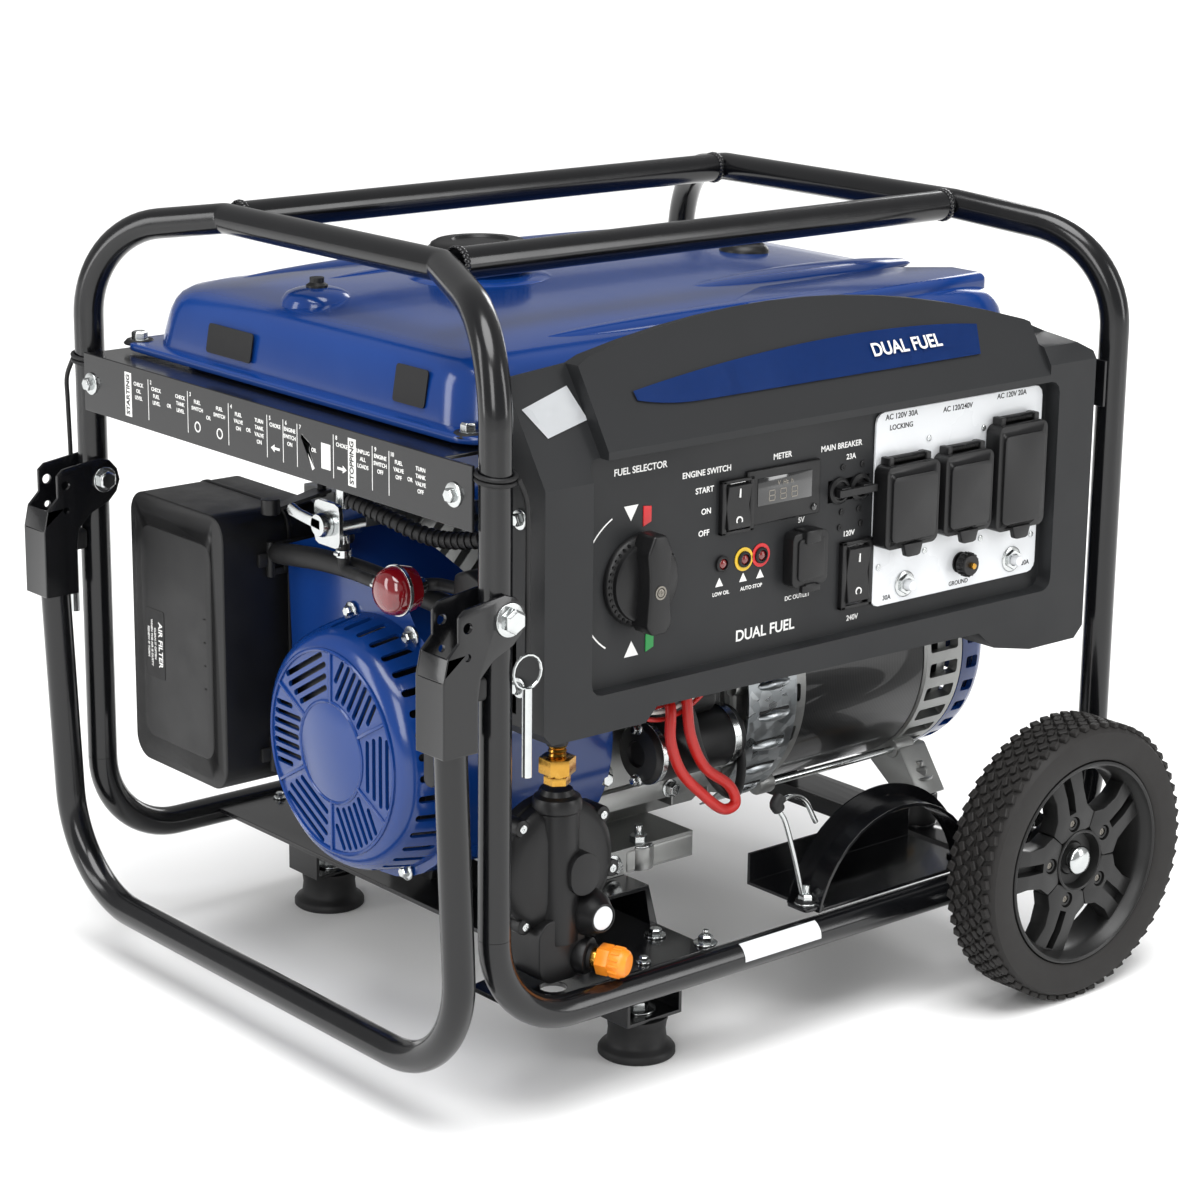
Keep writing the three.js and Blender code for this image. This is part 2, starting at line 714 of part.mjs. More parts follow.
function starterMotor() {
  const motor = rod([vector(226, -180, 150), vector(322, -180, 150)], 26, 16);
  const solenoid = rod([vector(240, -178, 186), vector(300, -178, 186)], 14, 12);
  const bridge = box([250, 290], [-186, -170], [165, 182]);
  const mount = box([306, 320], [-175, -148 - GAP], [128, 190]);
  return union(motor, solenoid, bridge, mount);
}

part('starter_motor', starterMotor(), FINISHES.blackPlastic);

function muffler() {
  const can = prism('x', roundedRectangle([92, 204], [205, 318], 34, 4), 352, 560);
  const inlet = rod(bentRoute([
    [270, 165, 262], [270, 165, 238, 14, 3], [360, 165, 238],
  ]), 14, 12);
  const outlet = rod([vector(555, 130, 260), vector(580, 130, 260)], 12, 12);
  return union(can, inlet, outlet);
}

part('muffler', muffler(), FINISHES.steel);

// ---- Alternator --------------------------------------------------------------------------

part('front_bracket', turned('x', SHAFT, [
  [SHAFT_RADIUS + 1, 372 + GAP], [96, 372 + GAP], [ALTERNATOR_RADIUS, 394],
  [ALTERNATOR_RADIUS, 420], [104, 420], [104, 400], [SHAFT_RADIUS + 1, 384],
], 32), FINISHES.castAluminium);

part('stator', turned('x', SHAFT, [
  [63, 420 + GAP], [110, 420 + GAP], [110, 565], [63, 565],
], 32), FINISHES.blackEnamel);

function rearBearingHousing() {
  const ring = turned('x', SHAFT, [
    [102, 565 + GAP], [ALTERNATOR_RADIUS, 565 + GAP], [ALTERNATOR_RADIUS, 612], [102, 612],
  ], 32);
  const web = turned('x', SHAFT, [[12 + GAP, 590], [103, 590], [103, 600], [12 + GAP, 600]], 24);
  const foot = prism('x', [
    [-168, ALTERNATOR_FOOT_Z], [-132, ALTERNATOR_FOOT_Z], [-96, 62], [-24, 62],
    [12, ALTERNATOR_FOOT_Z], [48, ALTERNATOR_FOOT_Z], [8, 92], [-128, 92],
  ], 568, 602);
  const bore = disc('x', SHAFT, 102, 560, 590, 32);
  return union(ring, web, foot.subtract(bore));
}

part('rear_bearing_housing', rearBearingHousing(), FINISHES.castAluminium);

part('alternator_end_cover', turned('x', SHAFT, [
  [0, 650], [100, 646], [ALTERNATOR_RADIUS, 632], [ALTERNATOR_RADIUS, 612 + GAP],
  [108, 612 + GAP], [108, 630], [97, 642], [0, 646],
], 32), FINISHES.blueEnamel);

// ---- Air, fuel and gas -------------------------------------------------------------------

const FILTER_Y = [75, 215];
const FILTER_Z = [95, 330];
const FILTER_SPLIT_X = 60;

function filterShell(inset, from, to) {
  return prism('x', roundedRectangle(
    [FILTER_Y[0] + inset, FILTER_Y[1] - inset],
    [FILTER_Z[0] + inset, FILTER_Z[1] - inset], 20,
  ), from, to);
}

part('air_filter_cover', filterShell(0, -5, FILTER_SPLIT_X)
  .subtract(filterShell(SHEET, -5 + SHEET, FILTER_SPLIT_X + 1)), FINISHES.blackPlastic);
part('air_filter_base', filterShell(0, FILTER_SPLIT_X + GAP, 95)
  .subtract(filterShell(SHEET, FILTER_SPLIT_X - 1, 95 - SHEET))
  .subtract(disc('x', [118, 300], 14, 80, 100, 12)), FINISHES.blackPlastic);

const INTAKE = [118, 300];

function carburettor() {
  const pipe = disc('x', INTAKE, 20, 95 + GAP, CYLINDER_X[0] - GAP, 16);
  const body = box([122, 172], [96, 140], [268, 330]);
  const bowl = disc('z', [147, 118], 20, 240, 270, 16);
  return union(pipe, body, bowl);
}

part('carburettor', carburettor(), FINISHES.castAluminium);

function chokeLever() {
  const arm = prism('z', [[28, 62], [40, 56], [112, 84], [112, 96], [100, 96]], 334, 337);
  const knob = disc('z', [34, 60], 8, 332, 345, 12);
  const pivot = disc('z', [106, 90], 4, 330 + GAP, 342, 10);
  return union(arm, knob, pivot);
}

part('choke_lever', chokeLever(), FINISHES.blackPlastic);

const VALVE = [-47, 348];

function fuelValveBody() {
  const plate = prism('x', roundedRectangle([-64, -30], [330, 366], 6, 2), 14, 18);
  const barrel = disc('x', VALVE, 12, 17, 44, 14);
  const stem = disc('z', [30, -47], 6, 355, 374.5, 10);
  const outlet = disc('z', [30, -47], 5, 330, 345, 10);
  return union(plate, barrel, stem, outlet);
}

part('fuel_valve_body', fuelValveBody(), FINISHES.zinc);
part('fuel_valve_lever', union(
  disc('x', VALVE, 10, 5, 14 - GAP, 14),
  prism('x', [[-51, 344], [-8, 350], [-6, 356], [-10, 359], [-51, 353]], 5, 9),
), FINISHES.zinc);

const FUEL_FILTER = [-139, 314];

function fuelFilter() {
  const bowl = turned('x', FUEL_FILTER, [
    [0, -2], [12, -1], [18, 6], [19.5, 14], [17, 28], [0, 32],
  ], 18);
  const fromValve = rod(bentRoute([
    [30, -47, 330 - GAP], [30, -47, 308, 10, 3], [16, -92, 314, 10, 3], [16, -130, 314],
  ]), 5, 8);
  const toEngine = rod(bentRoute([
    [28, -139, 314], [50, -139, 314, 12, 3], [52, -180, 316, 12, 3], [52, -226, 300],
  ]), 5, 8);
  return union(bowl, fromValve, toEngine);
}

part('fuel_filter', fuelFilter(), FINISHES.redEnamel);

const GAS_INLET = vector(107, -257, 29.5);
const GAS_INLET_AXIS = vector(0.46, -0.88, -0.06).normalize();

function alongInlet(from, to, radius, sides) {
  const ends = [from, to].map((s) => GAS_INLET.clone().addScaledVector(GAS_INLET_AXIS, s));
  return rod(ends, radius, sides);
}

function gasRegulator() {
  const drum = turned('y', [90, 98], [
    [0, -262], [40, -262], [50, -254], [50, -226], [42, -220], [0, -220],
  ], 28);
  const column = box([42, 84], [-264, -226], [16, 164]);
  const top = disc('z', [87, -245], 14, 150, 172, 16);
  const inlet = union(
    disc('z', [87, -245], 9, 170, 180, 6),
    disc('z', [87, -245], 13, 178, 194, 6),
    disc('z', [87, -245], 6, 192, 212, 10),
  );
  const boss = disc('y', [111, 64], 21, -274, -250, 20);
  const stand = box([60, 126], [-252, -222], [PLATE_Z[1] + GAP, 60]);
  return union(drum, column, top, inlet, boss, stand, alongInlet(-2, 11, 8, 10));
}

part('gas_regulator', gasRegulator(), FINISHES.blackPlastic);

part('gas_inlet_cap', alongInlet(11 + GAP, 38, 12.5, 6), FINISHES.orangePlastic);

// ---- Battery tray ------------------------------------------------------------------------

function batteryTray() {
  const floor = box([340, 530], [-276, -190], [14, 17]);
  const backLip = box([340, 530], [-193, -190], [14, 42]);
  const centre = [432, -7.4];
  const outer = disc('y', centre, 96.4, -279, -251, 36);
  const inner = disc('y', centre, 93.4, -285, -240, 36);
  const arch = outer.subtract(inner).intersect(box([300, 560], [-290, -240], [15, 100]));
  return union(floor, backLip, arch);
}

part('battery_tray', batteryTray(), FINISHES.blackEnamel);

// ---- Wheels ------------------------------------------------------------------------------

const WHEEL = [WHEEL_X, WHEEL_Z];

// Profiles are drawn for the front wheel, whose axle points towards -y, and mirrored.
function sided(sign, profile) {
  return profile.map(([radius, along]) => [radius, sign * along]);
}

function ring(axis, centre, inner, outer, from, to, sides) {
  return turned(axis, centre, [[inner, from], [outer, from], [outer, to], [inner, to]], sides);
}

function wheelRim(sign) {
  const barrel = turned('y', WHEEL, sided(sign, [
    [82, 322], [89, 322], [89, 364], [84, 366], [80, 360],
  ]), WHEEL_SIDES);
  const hub = turned('y', WHEEL, sided(sign, [
    [AXLE_RADIUS + GAP, 318], [24, 318], [24, 356], [AXLE_RADIUS + GAP, 356],
  ]), 16);
  let rim = barrel.add(hub);
  for (let spoke = 0; spoke < 5; spoke += 1) {
    const angle = Math.PI / 2 + (spoke * 2 * Math.PI) / 5;
    const along = ([reach, side]) => [
      WHEEL_X + reach * Math.cos(angle) - side * Math.sin(angle),
      WHEEL_Z + reach * Math.sin(angle) + side * Math.cos(angle),
    ];
    const outline = [[16, -12], [50, -13], [83, -17], [83, 17], [50, 13], [16, 12]].map(along);
    const span = sign < 0 ? [-358, -342] : [342, 358];
    rim = rim.add(prism('y', outline, ...span));
  }
  return rim;
}

for (const [side, sign] of SIDES) {
  part(`tyre_${side}`, turned('y', WHEEL, sided(sign, [
    [89 + GAP, 321], [89 + GAP, 363], [106, WHEEL_OUTER_Y], [115, WHEEL_OUTER_Y - 1],
    [WHEEL_RADIUS, 359], [WHEEL_RADIUS, 325], [115, WHEEL_INNER_Y + 1], [106, WHEEL_INNER_Y],
  ]), WHEEL_SIDES), FINISHES.rubber);
  part(`wheel_rim_${side}`, wheelRim(sign), FINISHES.blackPlastic);
  const plateY = [291.3, 295].map((y) => sign * y).sort((a, b) => a - b);
  const axleY = [293, 357].map((y) => sign * y).sort((a, b) => a - b);
  const capY = [356 + GAP, 363].map((y) => sign * y).sort((a, b) => a - b);
  part(`axle_bracket_${side}`, union(
    prism('y', [[528, -13], [606, -13], [606, 20], [588, 54], [546, 54], [528, 20]], ...plateY),
    disc('y', WHEEL, AXLE_RADIUS, ...axleY, 16),
    ring('y', WHEEL, AXLE_RADIUS - 1, 15, ...[295, 317].map((y) => sign * y), 16),
    disc('y', WHEEL, 12, ...capY, 16),
  ), FINISHES.blackEnamel);
}

// ---- Folding handle ----------------------------------------------------------------------

// A pressed bracket: two ears that straddle the leg and a socket that holds the handle's arm.
function handleBracket(sign) {
  const ear = [
    [-46, 337], [-2, 345], [12, 338], [15, 325], [8, 312], [-26, SOCKET_HIGH_Z],
    [-28, SOCKET_LOW_Z], [-60, SOCKET_LOW_Z], [-60, SOCKET_HIGH_Z],
  ];
  const span = (a, b) => [Math.min(sign * a, sign * b), Math.max(sign * a, sign * b)];
  const outerEar = prism('y', ear, ...span(EAR_OUTER_Y - SHEET, EAR_OUTER_Y));
  const innerEar = prism('y', ear, ...span(EAR_INNER_Y, EAR_INNER_Y + SHEET));
  const width = span(EAR_INNER_Y, EAR_OUTER_Y);
  const socket = [SOCKET_LOW_Z, SOCKET_HIGH_Z];
  return union(outerEar, innerEar, box([-60, -57], width, socket), box([-31, -28], width, socket));
}

function handle() {
  const lean = (HANDLE_BOTTOM_X - HANDLE_TOP_X) / (SOCKET_HIGH_Z - HANDLE_BAR_Z);
  const topX = HANDLE_TOP_X;
  const arm = rod(bentRoute([
    [topX, -HALF_WIDTH, SOCKET_HIGH_Z - 2],
    [topX + lean * 56, -HALF_WIDTH, SOCKET_LOW_Z, 600, 1],
    [HANDLE_BOTTOM_X, -HALF_WIDTH, HANDLE_BAR_Z, 90, 6],
    [HANDLE_BOTTOM_X, HALF_WIDTH, HANDLE_BAR_Z, 90, 6],
    [topX + lean * 56, HALF_WIDTH, SOCKET_LOW_Z, 600, 1],
    [topX, HALF_WIDTH, SOCKET_HIGH_Z - 2],
  ]), TUBE_RADIUS);
  const bores = disc('y', [0, PIVOT_Z], BOLT_RADIUS + GAP, -300, 300, 10)
    .add(disc('y', [-38, PIVOT_Z], LOCK_PIN_RADIUS + GAP, -300, 300, 10));
  return union(arm, handleBracket(-1), handleBracket(1)).subtract(bores);
}

part('handle', handle(), FINISHES.blackEnamel);

// ---- Lock pins on their lanyards -----------------------------------------------------------

const RING_Z = 284;
const RING_RADIUS = 13;
const RING_WIRE = 1.2;
const CORD_RADIUS = 2;
const LANYARDS = {
  front: [[11, -291, 430], [18, -291.5, 414], [20, -291, 392], [20, -291, 345]],
  rear: [[-7, 293.5, 430], [-9, 302, 412], [-7, 305.5, 390], [-6, 305.5, 345]],
};

function ringProfile() {
  return circle([RING_RADIUS, 0], RING_WIRE, 6);
}

for (const [side] of SIDES) {
  const cord = LANYARDS[side];
  const [x, y] = cord[cord.length - 1];
  const cordEnd = RING_Z + RING_RADIUS + RING_WIRE + GAP;
  const curve = new THREE.CatmullRomCurve3([...cord, [x, y, cordEnd]].map((p) => vector(...p)));
  part(`pin_lanyard_${side}`, rod(curve.getSpacedPoints(20), CORD_RADIUS, 8), FINISHES.rubber);
  const loop = turned('y', [x, RING_Z], ringProfile().map(([r, along]) => [r, y + along]), 16);
  const pin = disc('z', [x, y], LOCK_PIN_RADIUS, 203, RING_Z - RING_RADIUS + 1, 12);
  part(`lock_pin_${side}`, loop.add(pin), FINISHES.zinc);
}

// ---- Recoil grip -------------------------------------------------------------------------

// The grip rests against the housing; the starter rope is wound inside and isn't modelled.
part('recoil_grip', union(
  prism('x', roundedRectangle([-186, -172], [166, 232], 6, 2), 14, 32),
  disc('x', [-179, 199], 5, 31, 44, 10),
), FINISHES.blackPlastic);

export default generator;
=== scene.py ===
"""Portable generator: an open tube frame that carries an engine, an alternator, a fuel tank and
an outlet panel. Built on the fixed frame model, in metres."""
import math

import bmesh
import bpy
from mathutils import Matrix, Vector


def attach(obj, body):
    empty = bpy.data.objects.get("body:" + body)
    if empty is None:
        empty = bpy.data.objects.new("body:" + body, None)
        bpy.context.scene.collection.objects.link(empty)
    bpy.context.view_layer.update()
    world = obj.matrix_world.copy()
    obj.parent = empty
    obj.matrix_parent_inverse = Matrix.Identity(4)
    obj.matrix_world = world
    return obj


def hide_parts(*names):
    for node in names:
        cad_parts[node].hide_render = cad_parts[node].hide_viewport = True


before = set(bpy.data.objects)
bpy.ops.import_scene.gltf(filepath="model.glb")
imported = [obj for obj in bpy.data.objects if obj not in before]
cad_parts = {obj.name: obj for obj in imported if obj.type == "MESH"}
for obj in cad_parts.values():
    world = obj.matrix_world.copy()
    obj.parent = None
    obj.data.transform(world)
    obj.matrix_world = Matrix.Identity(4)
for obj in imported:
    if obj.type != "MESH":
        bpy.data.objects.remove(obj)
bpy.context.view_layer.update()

bl_info = {
    "name": "Portable Generator",
    "version": (1, 0, 0),
    "blender": (4, 5, 0),
    "location": "3D View > Sidebar > Generator",
    "description": "Builds a portable generator piece by piece on its frame model",
    "category": "Object",
}

# Machine coordinates are in millimetres: x = 0 at the left legs, y = 0 in the middle and
# z = 0 at the bottom rails. The frame model stands on z = 0 with its middle at x = 0.
MACHINE = Matrix.Translation((-0.3145, 0.0, 0.09)) @ Matrix.Scale(0.001, 4)
LEFT, RIGHT, FRONT, BACK, UP, DOWN = (
    Vector(v) for v in ((-1, 0, 0), (1, 0, 0), (0, -1, 0), (0, 1, 0), (0, 0, 1), (0, 0, -1)))
SIDES = (("front", -1), ("rear", 1))

FRAME_LENGTH = 667.6
HALF_WIDTH = 278.3
TOP = 560
TOP_RAILS = (("front", -140), ("rear", 153))
SHOULDER_DEPTH = 57.2
SHOULDER_LEAN = math.radians(8)
RAIL_INSET = 70.5
LEG_FOOT = 76.3
FOOT_X, FOOT_Y = 197, 216
TANK_BOLTS = [(x, y) for y in (-214, 240) for x in (26, 626)]
LAMPS = ((224, 330), (247, 330), (265, 330.5))
SHAFT = Vector((0, -60, 165))
WHEEL = Vector((567, 0, 32))
FILLER = Vector((230, 35, 0))
PANEL_FACE = -276.0
PLATE_FACE = -278.6

# The camera stands in metres of the frame model; its turn is yaw, pitch and roll in degrees.
CAMERA_SPOT = (-1.6787, -2.0087, 1.0397)
CAMERA_TURN = (40.23, -15.47, 0.68)
CAMERA_LENS_MM = 94.33
CAMERA_SENSOR_MM = 36.0
FLOOR_REACH = 30.0
SUN_STRENGTH = 2.9
SUN_SPREAD = 42
SKY_STRENGTH = 0.42


# ---- Materials -----------------------------------------------------------------------------

def linear(hex_colour):
    """Turn an sRGB hex colour into Blender's linear RGBA."""
    channels = [int(hex_colour[i:i + 2], 16) / 255 for i in (1, 3, 5)]
    return [c / 12.92 if c <= 0.04045 else ((c + 0.055) / 1.055) ** 2.4 for c in channels] + [1.0]


def add(tree, kind, inputs=None, **settings):
    """Add a node, set it, and set or link its inputs."""
    node = tree.nodes.new("ShaderNode" + kind)
    for key, value in settings.items():
        setattr(node, key, value)
    for key, value in (inputs or {}).items():
        if isinstance(value, bpy.types.NodeSocket):
            tree.links.new(value, node.inputs[key])
        else:
            node.inputs[key].default_value = value
    return node


def blank_material(name):
    """Return an empty material's tree, its output ready to link."""
    made = bpy.data.materials.new(name)
    made.use_nodes = True
    made.node_tree.nodes.clear()
    return made, made.node_tree


def finish(name, low, high, roughness, grain_mm, depth_mm, blotch_mm=45.0, metallic=0.0,
           coat=0.0, detail=3.0, stretch=(1, 1, 1), spread=0.06, specular=0.5):
    """A surface with a fine grain in its relief, and a slow drift in its colour and gloss."""
    found = bpy.data.materials.get(name)
    if found:
        return found
    made, tree = blank_material(name)
    place = add(tree, "TexCoord").outputs["Object"]
    turned = add(tree, "Mapping", {"Vector": place, "Scale": stretch}).outputs["Vector"]
    grain = add(tree, "TexNoise", {
        "Vector": turned, "Scale": 1000.0 / grain_mm, "Detail": detail, "Roughness": 0.55})
    blotch = add(tree, "TexNoise", {
        "Vector": place, "Scale": 1000.0 / blotch_mm, "Detail": 4.0, "Roughness": 0.6})
    drift = add(tree, "MapRange", {
        "Value": blotch.outputs["Fac"], "From Min": 0.3, "From Max": 0.7,
        "To Min": roughness - spread, "To Max": roughness + spread})
    shade = add(tree, "MixRGB", {
        "Fac": blotch.outputs["Fac"], "Color1": linear(low), "Color2": linear(high)})
    relief = add(tree, "Bump", {
        "Height": grain.outputs["Fac"], "Distance": depth_mm / 1000.0, "Strength": 1.0})
    shader = add(tree, "BsdfPrincipled", {
        "Base Color": shade.outputs["Color"], "Roughness": drift.outputs["Result"],
        "Metallic": metallic, "Coat Weight": coat, "Coat Roughness": 0.08,
        "Specular IOR Level": specular, "Normal": relief.outputs["Normal"]})
    add(tree, "OutputMaterial", {"Surface": shader.outputs["BSDF"]})
    return made


def galvanised():
    """Hot-dip galvanised sheet: flat crystals of zinc that each catch the light on their own."""
    found = bpy.data.materials.get("galvanised sheet")
    if found:
        return found
    made, tree = blank_material("galvanised sheet")
    place = add(tree, "TexCoord").outputs["Object"]
    # A spangle is 6 to 10 mm across.
    spangle = add(tree, "TexVoronoi", {"Vector": place, "Scale": 1000.0 / 8.0})
    tone = add(tree, "SeparateColor", {"Color": spangle.outputs["Color"]})
    shade = add(tree, "MixRGB", {
        "Fac": tone.outputs["Red"], "Color1": linear("#9DA2A5"), "Color2": linear("#C6CACC")})
    gloss = add(tree, "MapRange", {
        "Value": tone.outputs["Green"], "To Min": 0.26, "To Max": 0.46})
    fine = add(tree, "TexNoise", {"Vector": place, "Scale": 1000.0 / 1.5, "Detail": 2.0})
    relief = add(tree, "Bump", {"Height": fine.outputs["Fac"], "Distance": 0.00003})
    shader = add(tree, "BsdfPrincipled", {
        "Base Color": shade.outputs["Color"], "Roughness": gloss.outputs["Result"],
        "Metallic": 1.0, "Normal": relief.outputs["Normal"]})
    add(tree, "OutputMaterial", {"Surface": shader.outputs["BSDF"]})
    return made


def laminations():
    """Varnished stack of pressed steel laminations: fine rings along the alternator's axis."""
    found = bpy.data.materials.get("varnished laminations")
    if found:
        return found
    made, tree = blank_material("varnished laminations")
    place = add(tree, "TexCoord").outputs["Object"]
    # Real laminations are 0.5 mm thick; they are drawn 2 mm apart so that they show.
    rings = add(tree, "TexWave", {
        "Vector": place, "Scale": 1000.0 / 2.0 / 6.28 * 2, "Distortion": 0.4},
        wave_type="BANDS", bands_direction="X")
    shade = add(tree, "MixRGB", {
        "Fac": rings.outputs["Fac"], "Color1": linear("#08090A"), "Color2": linear("#0D0E10")})
    relief = add(tree, "Bump", {"Height": rings.outputs["Fac"], "Distance": 0.00004})
    shader = add(tree, "BsdfPrincipled", {
        "Base Color": shade.outputs["Color"], "Roughness": 0.32, "Coat Weight": 0.4,
        "Normal": relief.outputs["Normal"]})
    add(tree, "OutputMaterial", {"Surface": shader.outputs["BSDF"]})
    return made


def glow(name, colour, strength):
    """A small moulded lens: clear gloss over one deep colour."""
    made, tree = blank_material(name)
    place = add(tree, "TexCoord").outputs["Object"]
    cells = add(tree, "TexVoronoi", {"Vector": place, "Scale": 1000.0 / 1.2})
    relief = add(tree, "Bump", {"Height": cells.outputs["Distance"], "Distance": 0.0001})
    shader = add(tree, "BsdfPrincipled", {
        "Base Color": linear(colour), "Roughness": 0.12, "Coat Weight": 1.0,
        "Emission Color": linear(colour), "Emission Strength": strength,
        "Normal": relief.outputs["Normal"]})
    add(tree, "OutputMaterial", {"Surface": shader.outputs["BSDF"]})
    return made


FINISHES = {
    # Powder coat on tube: deep black, glossy, with a faint orange peel 2 mm across.
    "coat": ("black powder coat", "tube", "#0D0D0F", 0.2, 2.2, 0.018,
             {"coat": 0.2, "spread": 0.04, "specular": 0.4}),
    # Stove enamel on pressed steel: saturated blue under a smooth wet gloss.
    "blue": ("blue stove enamel", "enamel", "enamel_light", 0.2, 3.0, 0.012,
             {"blotch_mm": 120, "coat": 0.25, "spread": 0.05, "specular": 0.4}),
    # Moulded ABS with a fine spark-eroded texture: soft broad highlights.
    "panel": ("charcoal textured ABS", "panel", "#202123", 0.52, 0.7, 0.05,
              {"blotch_mm": 70, "detail": 5.0, "specular": 0.32}),
    # The same kind of moulding, blacker and a little smoother, on covers and knobs.
    "plastic": ("black moulded nylon", "#0E0E0F", "#141415", 0.4, 0.9, 0.035,
                {"blotch_mm": 30, "detail": 4.0, "specular": 0.36}),
    # Injection-moulded polypropylene for the wheels: satin with slight flow marks.
    "rim": ("black polypropylene", "#141414", "#1C1C1C", 0.4, 1.4, 0.02,
            {"blotch_mm": 35, "specular": 0.4}),
    # Tyre rubber: dull, slightly grey where it has bloomed.
    "tyre": ("tyre rubber", "#191817", "#252322", 0.66, 0.8, 0.07,
             {"blotch_mm": 20, "detail": 5.0, "specular": 0.35}),
    # Moulded rubber for feet, hoses and grips.
    "rubber": ("nitrile rubber", "#0E0E0F", "#171718", 0.55, 0.8, 0.04,
               {"blotch_mm": 15, "specular": 0.4}),
    # Die-cast aluminium: grey, grainy, with the sand and shot of its cleaning.
    "cast": ("die-cast aluminium", "#8C8D8C", "#B0B1AF", 0.44, 1.1, 0.1,
             {"blotch_mm": 25, "metallic": 1.0, "detail": 6.0, "spread": 0.09}),
    # Bright zinc plate on fasteners.
    "zinc": ("bright zinc plate", "#B9BDBF", "#D6D8D6", 0.2, 0.8, 0.015,
             {"blotch_mm": 8, "metallic": 1.0}),
    # Mild steel that heat has browned, as on an exhaust.
    "steel": ("heat-stained steel", "#6C665E", "#99968F", 0.4, 1.0, 0.03,
              {"blotch_mm": 35, "metallic": 1.0, "spread": 0.1}),
    # Printed and lacquered steel plate: near-white with a faint orange peel.
    "white": ("white printed plate", "#D9DCDF", "#E6E8EA", 0.3, 2.5, 0.01,
              {"blotch_mm": 90, "coat": 0.3}),
    # Screen-printed ink, thin and matt.
    "ink": ("white screen ink", "#DEDEDC", "#EBEBE9", 0.5, 0.6, 0.004, {}),
    # Moulded polyester bowl: dark red, very glossy.
    "red": ("red moulded bowl", "#5A060D", "#7E0C16", 0.1, 4.0, 0.01,
            {"blotch_mm": 14, "coat": 1.0}),
    # Polyethylene cap: bright orange, waxy.
    "orange": ("orange polyethylene", "cap", "#F79A2B", 0.38, 1.2, 0.02, {"blotch_mm": 12}),
    # Machined brass: yellow, with fine turning lines.
    "brass": ("machined brass", "#A9782B", "#D3A650", 0.24, 0.5, 0.01,
              {"blotch_mm": 6, "metallic": 1.0, "stretch": (1, 1, 6)}),
    # PVC insulation and sleeves on the wiring.
    "red wire": ("red PVC sleeve", "#A8140F", "#C4201A", 0.35, 1.5, 0.02, {"blotch_mm": 10}),
    "white wire": ("white PVC insulation", "#C9C7C0", "#DEDCD6", 0.4, 1.2, 0.02,
                   {"blotch_mm": 10}),
    # Self-adhesive vinyl and small coloured mouldings.
    "green": ("green vinyl mark", "#0E7A35", "#159444", 0.4, 1.0, 0.006, {}),
    "vermilion": ("red vinyl mark", "#B5141A", "#CC2025", 0.4, 1.0, 0.006, {}),
    "amber": ("amber lens ring", "#C9A012", "#E0BC2A", 0.3, 1.0, 0.01, {}),
    # Polished acrylic window over an unlit display.
    "window": ("smoked acrylic", "#060708", "#0A0B0D", 0.06, 5.0, 0.002, {"coat": 1.0}),
}


def surface(key):
    """Return the finish of one of the generator's real materials, by its short name."""
    if key == "galvanised":
        return galvanised()
    if key == "laminations":
        return laminations()
    name, low, high, roughness, grain_mm, depth_mm, others = FINISHES[key]
    colours = bpy.context.scene.generator_colours
    low, high = (c if c.startswith("#") else getattr(colours, c) for c in (low, high))
    return finish(name, low, high, roughness, grain_mm, depth_mm, **others)


# ---- Modelling helpers, in machine millimetres ---------------------------------------------

def turned_frame(centre, axis):
    """A matrix that puts +z along an axis, at a centre."""
    turn = UP.rotation_difference(Vector(axis).normalized())
    return Matrix.Translation(centre) @ turn.to_matrix().to_4x4()


def edges_of(verts):
    """Every edge between the given vertices."""
    chosen = set(verts)
    return list({e for v in verts for e in v.link_edges if e.other_vert(v) in chosen})


def soften(bm, edges, radius, segments=2):
    """Round edges to a radius."""
    if radius > 0 and edges:
        bmesh.ops.bevel(bm, geom=edges, offset=radius, offset_type="OFFSET", segments=segments,
                        profile=0.5, affect="EDGES", clamp_overlap=True, material=-1)


def merge(bm, part):
    """Add a part to a bmesh, and free it."""
    mesh = bpy.data.meshes.new("part")
    part.to_mesh(mesh)
    part.free()
    bm.from_mesh(mesh)
    bpy.data.meshes.remove(mesh)


def about_shaft(angle):
    """A matrix that turns a part about the engine's shaft."""
    return Matrix.Translation(SHAFT) @ Matrix.Rotation(angle, 4, "X")


def round_shaft(x, radius, angle):
    """A place at a distance from the engine's shaft; an angle of zero is straight up."""
    return SHAFT + Vector((x, radius * math.sin(angle), radius * math.cos(angle)))


def block(bm, low, high, radius=0.0, segments=2, matrix=None):
    """A box between two corners with rounded edges."""
    low, high = Vector(low), Vector(high)
    size = high - low
    place = Matrix.Translation((low + high) / 2) @ Matrix.Diagonal((*size, 1))
    if matrix:
        place = matrix @ place
    verts = bmesh.ops.create_cube(bm, size=1.0, matrix=place)["verts"]
    soften(bm, edges_of(verts), radius, segments)


def rod(bm, centre, axis, radius, length, rim=0.0, sides=32, tip=None):
    """A round or conical bar that starts at a centre and runs along an axis."""
    axis = Vector(axis).normalized()
    middle = Vector(centre) + axis * (length / 2)
    verts = bmesh.ops.create_cone(
        bm, cap_ends=True, segments=sides, radius1=radius,
        radius2=radius if tip is None else tip, depth=length,
        matrix=turned_frame(middle, axis))["verts"]
    if rim:
        ring = [e for e in edges_of(verts)
                if sorted(len(f.verts) for f in e.link_faces)[-1] == sides]
        soften(bm, ring, rim)


